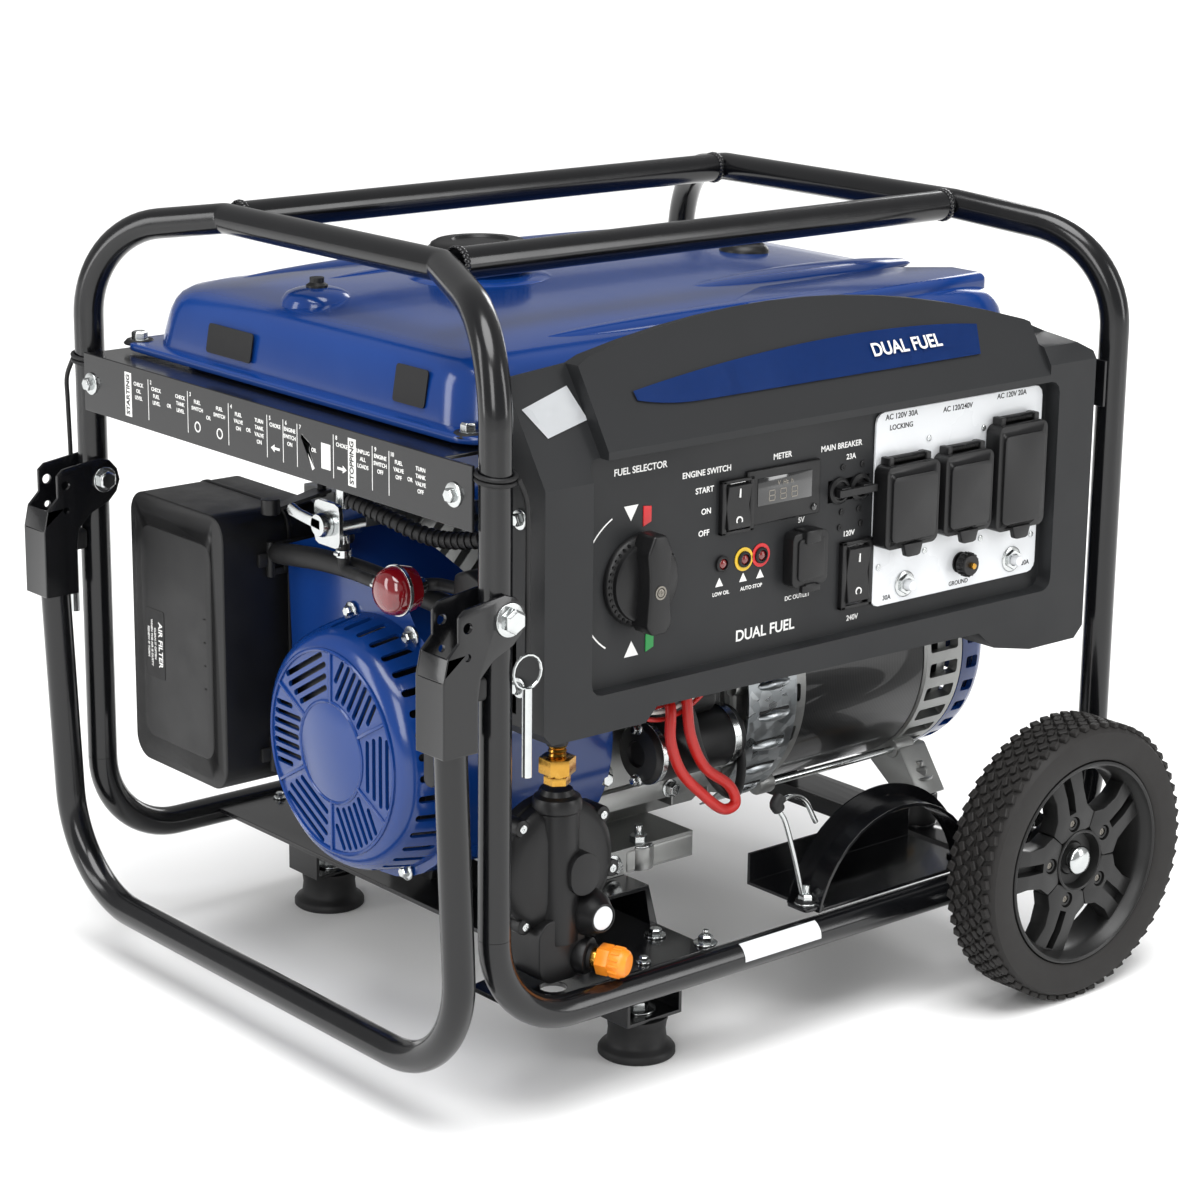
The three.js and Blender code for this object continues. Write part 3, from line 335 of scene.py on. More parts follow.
def spun(bm, centre, axis, profile, steps=64):
    """A closed profile of (radius, height) pairs turned right round an axis."""
    place = turned_frame(centre, axis)
    old = set(bm.faces)
    verts = [bm.verts.new(place @ Vector((radius, 0, height))) for radius, height in profile]
    loop = verts if profile[0][0] < 0.01 and profile[-1][0] < 0.01 else verts + verts[:1]
    edges = [bm.edges.new(pair) for pair in zip(loop, loop[1:])]
    bmesh.ops.spin(bm, geom=verts + edges, cent=Vector(centre), axis=Vector(axis).normalized(),
                   angle=math.tau, steps=steps, use_merge=True, use_duplicate=False)
    made = [f for f in bm.faces if f not in old]
    bmesh.ops.remove_doubles(bm, verts=list({v for f in made for v in f.verts}), dist=0.004)
    made = [f for f in bm.faces if f not in old]
    bmesh.ops.recalc_face_normals(bm, faces=made)


def slab(bm, outline, axis, start, end, radius=0.0, segments=2, matrix=None):
    """An outline in the plane across a machine axis, pulled from start to end along it."""
    order = {"x": lambda u, v: (start, u, v), "y": lambda u, v: (u, start, v),
             "z": lambda u, v: (u, v, start)}[axis]
    pull = {"x": RIGHT, "y": BACK, "z": UP}[axis] * (end - start)
    verts = [bm.verts.new(order(u, v)) for u, v in outline]
    face = bm.faces.new(verts)
    grown = bmesh.ops.extrude_face_region(bm, geom=[face])["geom"]
    far = [g for g in grown if isinstance(g, bmesh.types.BMVert)]
    bmesh.ops.translate(bm, verts=far, vec=pull)
    both = verts + far
    if matrix:
        bmesh.ops.transform(bm, matrix=matrix, verts=both)
    faces = list({f for v in both for f in v.link_faces})
    bmesh.ops.recalc_face_normals(bm, faces=faces)
    soften(bm, edges_of(both), radius, segments)


def rounded(u_span, v_span, radius, steps=6):
    """The outline of a rectangle with round corners."""
    (u0, u1), (v0, v1) = u_span, v_span
    corners = ((u1 - radius, v0 + radius, -90), (u1 - radius, v1 - radius, 0),
               (u0 + radius, v1 - radius, 90), (u0 + radius, v0 + radius, 180))
    return [(u + radius * math.cos(math.radians(start + 90 * i / steps)),
             v + radius * math.sin(math.radians(start + 90 * i / steps)))
            for u, v, start in corners for i in range(steps + 1)]


def bent(corners):
    """A route of straight runs with round corners; each corner is (x, y, z, bend, steps)."""
    route = [Vector(corners[0][:3])]
    for before, here, after in zip(corners, corners[1:], corners[2:]):
        corner = Vector(here[:3])
        back = (Vector(before[:3]) - corner).normalized()
        ahead = (Vector(after[:3]) - corner).normalized()
        half = back.angle(ahead) / 2
        radius, steps = here[3], here[4]
        centre = corner + (back + ahead).normalized() * (radius / math.sin(half))
        first = (corner + back * (radius / math.tan(half)) - centre).normalized()
        sweep = math.pi - 2 * half
        route += [centre + first * (radius * math.cos(sweep * i / steps))
                  - back * (radius * math.sin(sweep * i / steps)) for i in range(steps + 1)]
    route.append(Vector(corners[-1][:3]))
    return route


def flowing(points, steps=8):
    """A smooth line through points, as a hose or a wire lies."""
    points = [Vector(p) for p in points]
    ends = [points[0] * 2 - points[1]] + points + [points[-1] * 2 - points[-2]]
    line = []
    for p0, p1, p2, p3 in zip(ends, ends[1:], ends[2:], ends[3:]):
        for i in range(steps):
            t = i / steps
            line.append(0.5 * (2 * p1 + (p2 - p0) * t + (2 * p0 - 5 * p1 + 4 * p2 - p3) * t ** 2
                               + (3 * p1 - p0 - 3 * p2 + p3) * t ** 3))
    return line + [points[-1]]


def pipe(bm, line, radius, resolution=6, closed=False):
    """A round bar that follows a line."""
    route = bpy.data.curves.new("route", "CURVE")
    route.dimensions = "3D"
    route.bevel_depth = radius
    route.bevel_resolution = resolution
    route.use_fill_caps = True
    spline = route.splines.new("POLY")
    spline.points.add(len(line) - 1)
    for point, place in zip(spline.points, line):
        point.co = (*place, 1.0)
    spline.use_cyclic_u = closed
    holder = bpy.data.objects.new("route", route)
    mesh = bpy.data.meshes.new_from_object(holder)
    part = bmesh.new()
    part.from_mesh(mesh)
    bmesh.ops.remove_doubles(part, verts=part.verts, dist=0.001)
    bmesh.ops.recalc_face_normals(part, faces=part.faces)
    part.to_mesh(mesh)
    part.free()
    bm.from_mesh(mesh)
    bpy.data.meshes.remove(mesh)
    bpy.data.objects.remove(holder)
    bpy.data.curves.remove(route)


def hex_bolt(bm, centre, axis, across=13.0, height=6.0, washer=0.0, thread=0.0):
    """A hexagon head with a chamfered top, on a washer if one is asked for."""
    axis = Vector(axis).normalized()
    centre = Vector(centre)
    if washer:
        rod(bm, centre - axis * 0.4, axis, washer, 2.0, rim=0.5, sides=28)
        centre = centre + axis * 1.5
    rod(bm, centre, axis, across * 0.577, height * 0.8, sides=6)
    rod(bm, centre + axis * height * 0.8, axis, across * 0.577, height * 0.2, sides=6,
        tip=across * 0.46)
    if thread:
        rod(bm, centre + axis * height * 0.9, axis, across * 0.25, thread, rim=0.6, sides=16)


def cross_screw(bm, centre, axis, radius=3.0):
    """A low round screw head with a cross in it."""
    axis = Vector(axis).normalized()
    rod(bm, Vector(centre) - axis * 0.3, axis, radius, 1.5, rim=0.6, sides=20)
    place = turned_frame(Vector(centre) + axis * 1.3, axis)
    for turn in (0, 90):
        spin = place @ Matrix.Rotation(math.radians(turn), 4, "Z")
        block(bm, (-radius * 0.6, -radius * 0.12, -0.3), (radius * 0.6, radius * 0.12, 0.25),
              matrix=spin)


def lettering(bm, words, size, x, y, z, align="CENTER", turn=0.0, tilt=0.0):
    """Flat printed words that face the front, or turned about the upright or tilted back."""
    text = bpy.data.curves.new("words", "FONT")
    text.body = words
    text.size = size
    text.align_x = align
    text.align_y = "CENTER"
    text.extrude = 0.12
    text.offset = size * 0.018
    holder = bpy.data.objects.new("words", text)
    mesh = bpy.data.meshes.new_from_object(holder)
    mesh.transform(Matrix.Translation((x, y, z)) @ Matrix.Rotation(math.radians(turn), 4, "Z")
                   @ Matrix.Rotation(math.radians(90 - tilt), 4, "X"))
    bm.from_mesh(mesh)
    bpy.data.meshes.remove(mesh)
    bpy.data.objects.remove(holder)
    bpy.data.curves.remove(text)


def carved(target, cutter):
    """Return the target with every solid of the cutter taken out of it."""
    pair = []
    for bm in (target, cutter):
        mesh = bpy.data.meshes.new("carving")
        bm.to_mesh(mesh)
        bm.free()
        holder = bpy.data.objects.new("carving", mesh)
        bpy.context.scene.collection.objects.link(holder)
        pair.append(holder)
    change = pair[0].modifiers.new("cut", "BOOLEAN")
    change.operation = "DIFFERENCE"
    change.solver = "EXACT"
    change.use_self = True
    change.object = pair[1]
    bpy.context.view_layer.update()
    graph = bpy.context.evaluated_depsgraph_get()
    mesh = bpy.data.meshes.new_from_object(pair[0].evaluated_get(graph))
    result = bmesh.new()
    result.from_mesh(mesh)
    for holder in pair:
        old = holder.data
        bpy.data.objects.remove(holder)
        bpy.data.meshes.remove(old)
    bpy.data.meshes.remove(mesh)
    return result


def place_piece(name, bm, key, body="frame", stands_for=(), smooth=38, edge=0.0,
                in_row=False):
    """Turn a bmesh into a finished object that rides on a body."""
    if not in_row:
        bmesh.ops.transform(bm, matrix=MACHINE, verts=bm.verts)
    mesh = bpy.data.meshes.new(name)
    bm.to_mesh(mesh)
    bm.free()
    mesh.shade_smooth()
    mesh.set_sharp_from_angle(angle=math.radians(smooth))
    piece = bpy.data.objects.new(name, mesh)
    bpy.context.scene.collection.objects.link(piece)
    mesh.materials.append(surface(key) if isinstance(key, str) else key)
    if edge:
        bevel = piece.modifiers.new("soft edges", "BEVEL")
        bevel.width = edge / 1000.0
        bevel.segments = 2
        bevel.limit_method = "ANGLE"
        bevel.angle_limit = math.radians(smooth)
        bevel.harden_normals = True
    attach(piece, body)
    if stands_for:
        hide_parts(*stands_for)
    return piece


def refined(node, key, body="frame", edge=0.8, smooth=38):
    """A closed copy of a frame node with its edges softened."""
    bm = bmesh.new()
    bm.from_mesh(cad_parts[node].data)
    bmesh.ops.remove_doubles(bm, verts=bm.verts, dist=0.00001)
    bmesh.ops.dissolve_limit(bm, angle_limit=math.radians(1.5), verts=bm.verts, edges=bm.edges)
    return place_piece(node + "_finished", bm, key, body, (node,), smooth, edge,
                       in_row=True)


# ---- Settings ------------------------------------------------------------------------------

class GeneratorSizes(bpy.types.PropertyGroup):
    """Sizes that a maker would change, in millimetres."""

    tube: bpy.props.FloatProperty(
        name="Frame tube radius", description="Outside radius of the frame's tube, in mm",
        default=12.7, min=8.0, max=20.0)
    tread: bpy.props.FloatProperty(
        name="Tread depth", description="Height of the tyre's tread blocks, in mm",
        default=3.4, min=1.0, max=6.0)
    slot: bpy.props.FloatProperty(
        name="Cooling slot width", description="Width of the recoil cover's slots, in mm",
        default=4.6, min=2.0, max=8.0)
    wire: bpy.props.FloatProperty(
        name="Wire radius", description="Radius of the starter's wiring, in mm",
        default=2.4, min=1.0, max=5.0)


class GeneratorColours(bpy.types.PropertyGroup):
    """Colours of the painted and moulded parts, as sRGB hex."""

    tube: bpy.props.StringProperty(
        name="Tube", description="Colour of the powder-coated tube", default="#0B0C0E")
    enamel: bpy.props.StringProperty(
        name="Enamel", description="Colour of the enamelled sheet metal", default="#0B3070")
    enamel_light: bpy.props.StringProperty(
        name="Enamel highlight", description="The enamel where it is thickest",
        default="#0F397C")
    panel: bpy.props.StringProperty(
        name="Panel", description="Colour of the control panel's moulding", default="#1B1C1D")
    cap: bpy.props.StringProperty(
        name="Cap", description="Colour of the gas inlet's cap", default="#EC7D14")


# ---- Stage ---------------------------------------------------------------------------------

class GENERATOR_OT_stage(bpy.types.Operator):
    """Set the camera, the pale floor and the soft studio lights"""

    bl_idname = "generator.stage"
    bl_label = "Stage"

    def execute(self, context):
        scene = context.scene
        eye = bpy.data.cameras.new("view")
        eye.lens = CAMERA_LENS_MM
        eye.sensor_width = CAMERA_SENSOR_MM
        eye.clip_start = 0.05
        eye.clip_end = 60.0
        camera = bpy.data.objects.new("view", eye)
        scene.collection.objects.link(camera)
        yaw, pitch, roll = (math.radians(a) for a in CAMERA_TURN)
        ahead = Vector((math.sin(yaw) * math.cos(pitch), math.cos(yaw) * math.cos(pitch),
                        math.sin(pitch)))
        right = ahead.cross(UP).normalized()
        up = right.cross(ahead)
        turned_right = right * math.cos(roll) + up * math.sin(roll)
        turned_up = up * math.cos(roll) - right * math.sin(roll)
        turn = Matrix((turned_right, turned_up, -ahead)).transposed().to_4x4()
        camera.matrix_world = Matrix.Translation(CAMERA_SPOT) @ turn
        scene.camera = camera

        ground = bmesh.new()
        bmesh.ops.create_grid(ground, x_segments=1, y_segments=1, size=FLOOR_REACH)
        mesh = bpy.data.meshes.new("floor")
        ground.to_mesh(mesh)
        ground.free()
        floor = bpy.data.objects.new("floor", mesh)
        scene.collection.objects.link(floor)
        mesh.materials.append(finish("pale studio floor", "#F4F4F3", "#F8F8F8", 0.7, 8.0, 0.01,
                                     blotch_mm=900, specular=0.2))

        middle = Vector((0, 0, 0.3))
        for name, spot, width, height, power in (
                ("key_softbox", (-2.6, -2.2, 2.0), 1.1, 2.2, 46),
                ("side_softbox", (-3.0, 1.2, 1.4), 0.8, 2.4, 32),
                ("front_softbox", (1.9, -2.9, 1.5), 0.9, 2.2, 32),
                ("rear_softbox", (3.1, 1.5, 1.5), 0.8, 2.0, 26)):
            lamp = bpy.data.lights.new(name, "AREA")
            lamp.shape = "RECTANGLE"
            lamp.size = width
            lamp.size_y = height
            lamp.energy = power
            holder = bpy.data.objects.new(name, lamp)
            holder.location = spot
            aim = middle - Vector(spot)
            holder.rotation_euler = aim.to_track_quat("-Z", "Y").to_euler()
            scene.collection.objects.link(holder)
        ceiling = bpy.data.lights.new("ceiling", "SUN")
        ceiling.energy = SUN_STRENGTH
        ceiling.angle = math.radians(SUN_SPREAD)
        holder = bpy.data.objects.new("ceiling", ceiling)
        holder.rotation_euler = (math.radians(14), math.radians(-10), 0)
        scene.collection.objects.link(holder)
        world = bpy.data.worlds.new("studio")
        world.use_nodes = True
        backdrop = world.node_tree.nodes["Background"]
        backdrop.inputs["Color"].default_value = (1.0, 1.0, 1.0, 1.0)
        backdrop.inputs["Strength"].default_value = SKY_STRENGTH
        scene.world = world
        scene.view_settings.view_transform = "Standard"
        return {"FINISHED"}


# ---- Lock pins and their cords -------------------------------------------------------------

LANYARDS = {
    "front": ((11, -291, 430), (18, -291.5, 414), (20, -291, 392), (20, -291, 345),
              (20, -291, 298.5)),
    "rear": ((-7, 293.5, 430), (-9, 302, 412), (-7, 305.5, 390), (-6, 305.5, 345),
             (-6, 305.5, 298.5)),
}


class GENERATOR_OT_lanyards(bpy.types.Operator):
    """Hang each lock pin on its cord, tied round the leg"""

    bl_idname = "generator.lanyards"
    bl_label = "Lock pins and cords"

    def execute(self, context):
        for side, sign in SIDES:
            line = flowing(LANYARDS[side], 6)
            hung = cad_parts["lock_pin_" + side]
            hung.data.materials.clear()
            hung.data.materials.append(surface("zinc"))
            cord = bmesh.new()
            pipe(cord, line, 2.0, 4)
            tied = place_piece("lanyard_" + side, cord, "rubber",
                               stands_for=("pin_lanyard_" + side,))
            knot = bmesh.new()
            for height in (429, 433):
                loop = [Vector((14.6 * math.cos(a), sign * HALF_WIDTH + 14.6 * math.sin(a),
                                height + 2 * math.sin(a)))
                        for a in (math.tau * i / 32 for i in range(32))]
                pipe(knot, loop, 1.8, 3, closed=True)
            place_piece("lanyard_knot_" + side, knot, "rubber")
        return {"FINISHED"}


# ---- Frame ---------------------------------------------------------------------------------

def hoop_line(x, inward):
    """Two legs that lean in at the shoulders, and the bar across the top."""
    kink = x + inward * SHOULDER_DEPTH
    front, rear = (y for _, y in TOP_RAILS)

    def shoulder(y):
        return TOP - math.hypot(SHOULDER_DEPTH, HALF_WIDTH - abs(y)) * math.tan(SHOULDER_LEAN)

    return bent(((x, -HALF_WIDTH, LEG_FOOT), (x, -HALF_WIDTH, shoulder(front), 85, 16),
                 (kink, front, TOP, 18, 6), (kink, rear, TOP, 18, 6),
                 (x, HALF_WIDTH, shoulder(rear), 85, 16), (x, HALF_WIDTH, LEG_FOOT)))


class GENERATOR_OT_tubes(bpy.types.Operator):
    """Bend the frame's hoops, rails and bars, with their weld beads"""

    bl_idname = "generator.tubes"
    bl_label = "Frame tubes"

    def execute(self, context):
        radius = context.scene.generator_sizes.tube
        for node, x, inward in (("left_hoop", 0, 1), ("right_hoop", FRAME_LENGTH, -1)):
            bm = bmesh.new()
            pipe(bm, hoop_line(x, inward), radius, 10)
            place_piece(node + "_tube", bm, "coat", stands_for=(node,))
        for side, sign in SIDES:
            y = sign * HALF_WIDTH
            bm = bmesh.new()
            pipe(bm, bent(((0, y, 76), (0, y, 0, 75, 16), (FRAME_LENGTH, y, 0, 75, 16),
                           (FRAME_LENGTH, y, 76))), radius, 10)
            place_piece("bottom_rail_" + side + "_tube", bm, "coat",
                        stands_for=("bottom_rail_" + side,))
        beads = bmesh.new()
        for side, y in TOP_RAILS:
            bm = bmesh.new()
            ends = (RAIL_INSET, FRAME_LENGTH - RAIL_INSET)
            pipe(bm, [Vector((x, y, TOP)) for x in ends], radius, 10)
            place_piece("top_rail_" + side + "_tube", bm, "coat",
                        stands_for=("top_rail_" + side,))
            for x, way in zip(ends, (1, -1)):
                # Overlapping ripples of weld metal run round each butt joint.
                for i in range(22):
                    a = math.tau * i / 22
                    spot = Vector((x + way * 1.2, y + radius * math.cos(a),
                                   TOP + radius * math.sin(a)))
                    bmesh.ops.create_icosphere(
                        beads, subdivisions=2, radius=2.7,
                        matrix=Matrix.Translation(spot) @ Matrix.Rotation(a, 4, "X")
                        @ Matrix.Diagonal((1.25, 0.6, 1.0, 1)))
        place_piece("weld_beads", beads, "coat", smooth=60)
        return {"FINISHED"}


class GENERATOR_OT_supports(bpy.types.Operator):
    """Fit the cross members, tank rails, rubber feet and their bolts"""

    bl_idname = "generator.supports"
    bl_label = "Cross members and feet"

    def execute(self, context):
        for node in ("engine_cross_member", "alternator_cross_member", "label_rail",
                     "tank_rail_right"):
            refined(node, "coat", edge=0.7)
        for side, sign in SIDES:
            foot = bmesh.new()
            spun(foot, (FOOT_X, sign * FOOT_Y, -90), UP, (
                (0, 0), (30.5, 0), (31.8, 1.2), (31.8, 5), (30, 7.5), (26.5, 9.5), (24.6, 13),
                (23.6, 22), (24.6, 29), (25.4, 31), (25.4, 33.6), (0, 33.6)), 56)
            place_piece("foot_" + side + "_rubber", foot, "rubber",
                        stands_for=("foot_" + side,))
            bolts = bmesh.new()
            hex_bolt(bolts, (FOOT_X, sign * FOOT_Y, -52.8), UP, 16, 8, washer=15)
            hex_bolt(bolts, (215, sign * FOOT_Y, 6.5), UP, 10, 5, washer=9)
            hex_bolt(bolts, (236, sign * 254, 6.5), UP, 11, 6, washer=10, thread=5)
            hex_bolt(bolts, (170, sign * 254, 6.5), UP, 7, 4, washer=6)
            place_piece("foot_bolts_" + side, bolts, "zinc", edge=0.3)
        rail = bmesh.new()
        for _, sign in SIDES:
            hex_bolt(rail, (-16, sign * 250, 415), LEFT, 10, 5.5, washer=9.5)
        for x, y in TANK_BOLTS:
            hex_bolt(rail, (x, y, 448.5), UP, 12, 7, washer=8)
        place_piece("tank_bolts", rail, "zinc", edge=0.3)
        pads = bmesh.new()
        for x, y in TANK_BOLTS:
            spun(pads, (x, y, 446), UP, ((0, 0), (13, 0), (13.6, 1.2), (11, 4), (0, 4)), 40)
        place_piece("tank_bolt_grommets", pads, "rubber")
        # Steps for starting and stopping are printed along the left rail, in plain words.
        steps = bmesh.new()
        face = -16.1
        for y in (192, -124):
            block(steps, (face - 0.1, y - 5, 397), (face + 0.1, y + 5, 434))
        for y in (161, 102, 43, -11, -33, -52, -100, -150, -171):
            block(steps, (face - 0.1, y - 0.35, 399), (face + 0.1, y + 0.35, 433))
        for number, y in enumerate((157, 98, 39, -15, -37, -56, -104, -154, -175), 2):
            lettering(steps, str(number), 4.6, face, y, 431, turn=-90)
        for y, lines in ((176, "CHECK OIL LEVEL"), (149, "CHECK FUEL LEVEL"),
                         (113, "CHECK TANK LEVEL"), (88, "FUEL SWITCH"), (56, "FUEL SWITCH"),
                         (29, "FUEL VALVE ON"), (0, "TURN TANK VALVE ON"), (-22, "CHOKE"),
                         (-42, "ENGINE SWITCH ON"), (-111, "CHOKE"), (-138, "UNPLUG ALL LOADS"),
                         (-160, "ENGINE SWITCH OFF"), (-183, "FUEL VALVE OFF"),
                         (-210, "TURN TANK VALVE OFF")):
            for row, word in enumerate(lines.split()):
                lettering(steps, word, 4.4, face, y, 426 - 5.6 * row, turn=-90)
        for y in (130, 72, 15, -74, -197):
            lettering(steps, "OR", 4.4, face, y, 416, turn=-90)
        for y, way in ((-22, 1), (-111, -1)):
            slab(steps, ((y + 6 * way, 408), (y + 1 * way, 411), (y + 1 * way, 409),
                          (y - 6 * way, 409), (y - 6 * way, 407), (y + 1 * way, 407),
                          (y + 1 * way, 405)), "x", face - 0.1, face + 0.1)
        for y in (88, 56):
            spun(steps, (face + 0.1, y, 406), LEFT, ((3.2, 0), (4.4, 0), (4.4, 0.2), (3.2, 0.2)),
                 24)
        slab(steps, ((-58, 426), (-70, 420), (-68, 416), (-63, 419), (-72, 400), (-75, 402),
                      (-66, 420), (-57, 423)), "x", face - 0.1, face + 0.1)
        block(steps, (face - 0.1, -96, 404), (face + 0.1, -84, 424))
        place_piece("rail_printing", steps, "ink")
        boxed = bmesh.new()
        for y, word in ((192, "STARTING"), (-124, "STOPPING")):
            stamp = bmesh.new()
            lettering(stamp, word, 7.2, face - 0.2, y, 415.5, turn=-90)
            bmesh.ops.rotate(stamp, cent=(face, y, 415.5), verts=stamp.verts,
                             matrix=Matrix.Rotation(math.radians(-90), 3, "X"))
            merge(boxed, stamp)
        place_piece("rail_box_words", boxed, "plastic")
        return {"FINISHED"}


# ---- Fuel tank -----------------------------------------------------------------------------

def tank_outline(margin, radius, z):
    """The tank's outline, drawn in from the seam by a margin."""
    return [(x, y, z) for x, y in rounded(
        (12 + margin, 640 - margin), (-235 + margin, 252 - margin), radius, 10)]


def lofted(bm, rings, close_last=True):
    """A skin over rings of equal count that stand one above the other."""
    loops = []
    for ring in rings:
        verts = [bm.verts.new(p) for p in ring]
        loops.append([bm.edges.new(pair) for pair in zip(verts, verts[1:] + verts[:1])])
    for low, high in zip(loops, loops[1:]):
        bmesh.ops.bridge_loops(bm, edges=low + high)
    if close_last:
        bmesh.ops.contextual_create(bm, geom=loops[-1])
    return loops


class GENERATOR_OT_tank(bpy.types.Operator):
    """Press the fuel tank's two halves and fit its cap, gauge and seams"""

    bl_idname = "generator.tank"
    bl_label = "Fuel tank"

    def execute(self, context):
        shell = bmesh.new()
        lofted(shell, [tank_outline(*r) for r in (
            (14, 46, 446), (14.6, 46, 452), (18, 46, 470), (20, 46, 479), (23, 46, 487),
            (27, 45, 492.5), (33, 44, 496.5), (45, 48, 500), (78, 60, 505), (112, 62, 508.5),
            (150, 62, 511), (190, 45, 512))])
        bmesh.ops.recalc_face_normals(shell, faces=shell.faces)
        bmesh.ops.reverse_faces(shell, faces=[f for f in shell.faces if f.normal.z < -0.9])
        # Long pressed ribs stiffen the crown.
        for y, x0, x1, wide in ((-172, 120, 560, 15), (-100, 330, 600, 22), (112, 120, 560, 20),
                                (190, 90, 570, 15)):
            z = 505.5 if abs(y) < 150 else 499.5
            bmesh.ops.create_uvsphere(
                shell, u_segments=48, v_segments=16, radius=1.0,
                matrix=Matrix.Translation(((x0 + x1) / 2, y, z))
                @ Matrix.Diagonal(((x1 - x0) / 2, wide, 9.5, 1)))
        spun(shell, (*FILLER.xy, 496), UP, (
            (0, 0), (72, 0), (68, 9), (62, 14.5), (56, 17.5), (48, 18.6), (40, 18.8), (37, 19.5),
            (35, 22), (34, 26), (34, 33), (28, 33), (28, 10), (0, 10)), 72)
        # A small raised boss near the left corner takes the vent fitting.
        spun(shell, (84, 62, 496), UP, (
            (0, 0), (31, 0), (29, 8), (25, 13), (19, 15.5), (12, 17), (0, 17.4)), 48)
        # A sculpted shoulder steps up behind the hood.
        slab(shell, ((330, -206), (604, -190), (604, -150), (560, -118), (400, -118),
                     (330, -160)), "z", 488, 508, radius=7, segments=5)
        place_piece("tank_upper_pressing", shell, "blue", smooth=50,
                    stands_for=("tank_upper_shell",))
        tray = bmesh.new()
        lofted(tray, [tank_outline(*r) for r in (
            (30, 45, 444.6), (31, 45, 425), (34, 45, 405), (38, 45, 393), (46, 46, 384),
            (56, 46, 379), (76, 40, 375.5))])
        bmesh.ops.recalc_face_normals(tray, faces=tray.faces)
        place_piece("tank_lower_pressing", tray, "blue", smooth=50,
                    stands_for=("tank_lower_tray",))
        seam = bmesh.new()
        lofted(seam, [tank_outline(*r) for r in (
            (16, 45, 449), (2, 25, 449), (0.6, 25, 448.4), (0, 25, 447.4), (0, 25, 443.4),
            (0.6, 25, 442.6), (31, 45, 442.6))], close_last=False)
        bmesh.ops.recalc_face_normals(seam, faces=seam.faces)
        place_piece("tank_seam", seam, "blue", smooth=50)

        cap = bmesh.new()
        spun(cap, (*FILLER.xy, 519), UP, (
            (0, 12), (36.5, 12), (36.5, 0), (42.4, 0), (42.8, 2), (42.4, 17), (41, 20),
            (37, 22.2), (24, 23.2), (22.5, 21), (0, 21)), 72)
        for i in range(36):
            turn = Matrix.Translation((*FILLER.xy, 0)) @ Matrix.Rotation(math.tau * i / 36, 4, "Z")
            block(cap, (41.6, -1.4, 520.5), (43.8, 1.4, 536), 0.5, 1, matrix=turn)
        place_piece("fuel_cap_moulding", cap, "plastic", "tank_cap",
                    ("fuel_cap",))
        gauge = bmesh.new()
        spun(gauge, (500, 5, 508), UP, (
            (0, 0), (22, 0), (22, 4), (20, 7), (18, 8.6), (15, 8.6), (14.5, 7.6), (0, 7.6)), 48)
        block(gauge, (486, 3.6, 515), (514, 6.4, 516.2), 0.4)
        spun(gauge, (84, 62, 512), UP, ((0, 0), (9, 0), (9, 3), (6, 5), (6, 9), (0, 9)), 32)
        place_piece("tank_gauge", gauge, "plastic")
        marks = bmesh.new()
        # Blank stickers lie on the tank's left wall.
        slab(marks, rounded((-158, -118), (457, 486), 3), "x", 28.0, 29.2)
        slab(marks, rounded((72, 136), (455, 479), 3), "x", 26.6, 27.8)
        bmesh.ops.rotate(marks, cent=(28, 0, 470), verts=marks.verts,
                         matrix=Matrix.Rotation(math.radians(9.5), 3, "Y"))
        place_piece("tank_stickers", marks, "plastic")
        return {"FINISHED"}


# ---- Control panel -------------------------------------------------------------------------

def on_slope(x, z, lift=0.8):
    """A point on the hood's sloping front, lifted a little off it."""
    return Vector((x, -282 + (z - 452) * 44 / 72 - lift * 0.85, z + lift * 0.52))


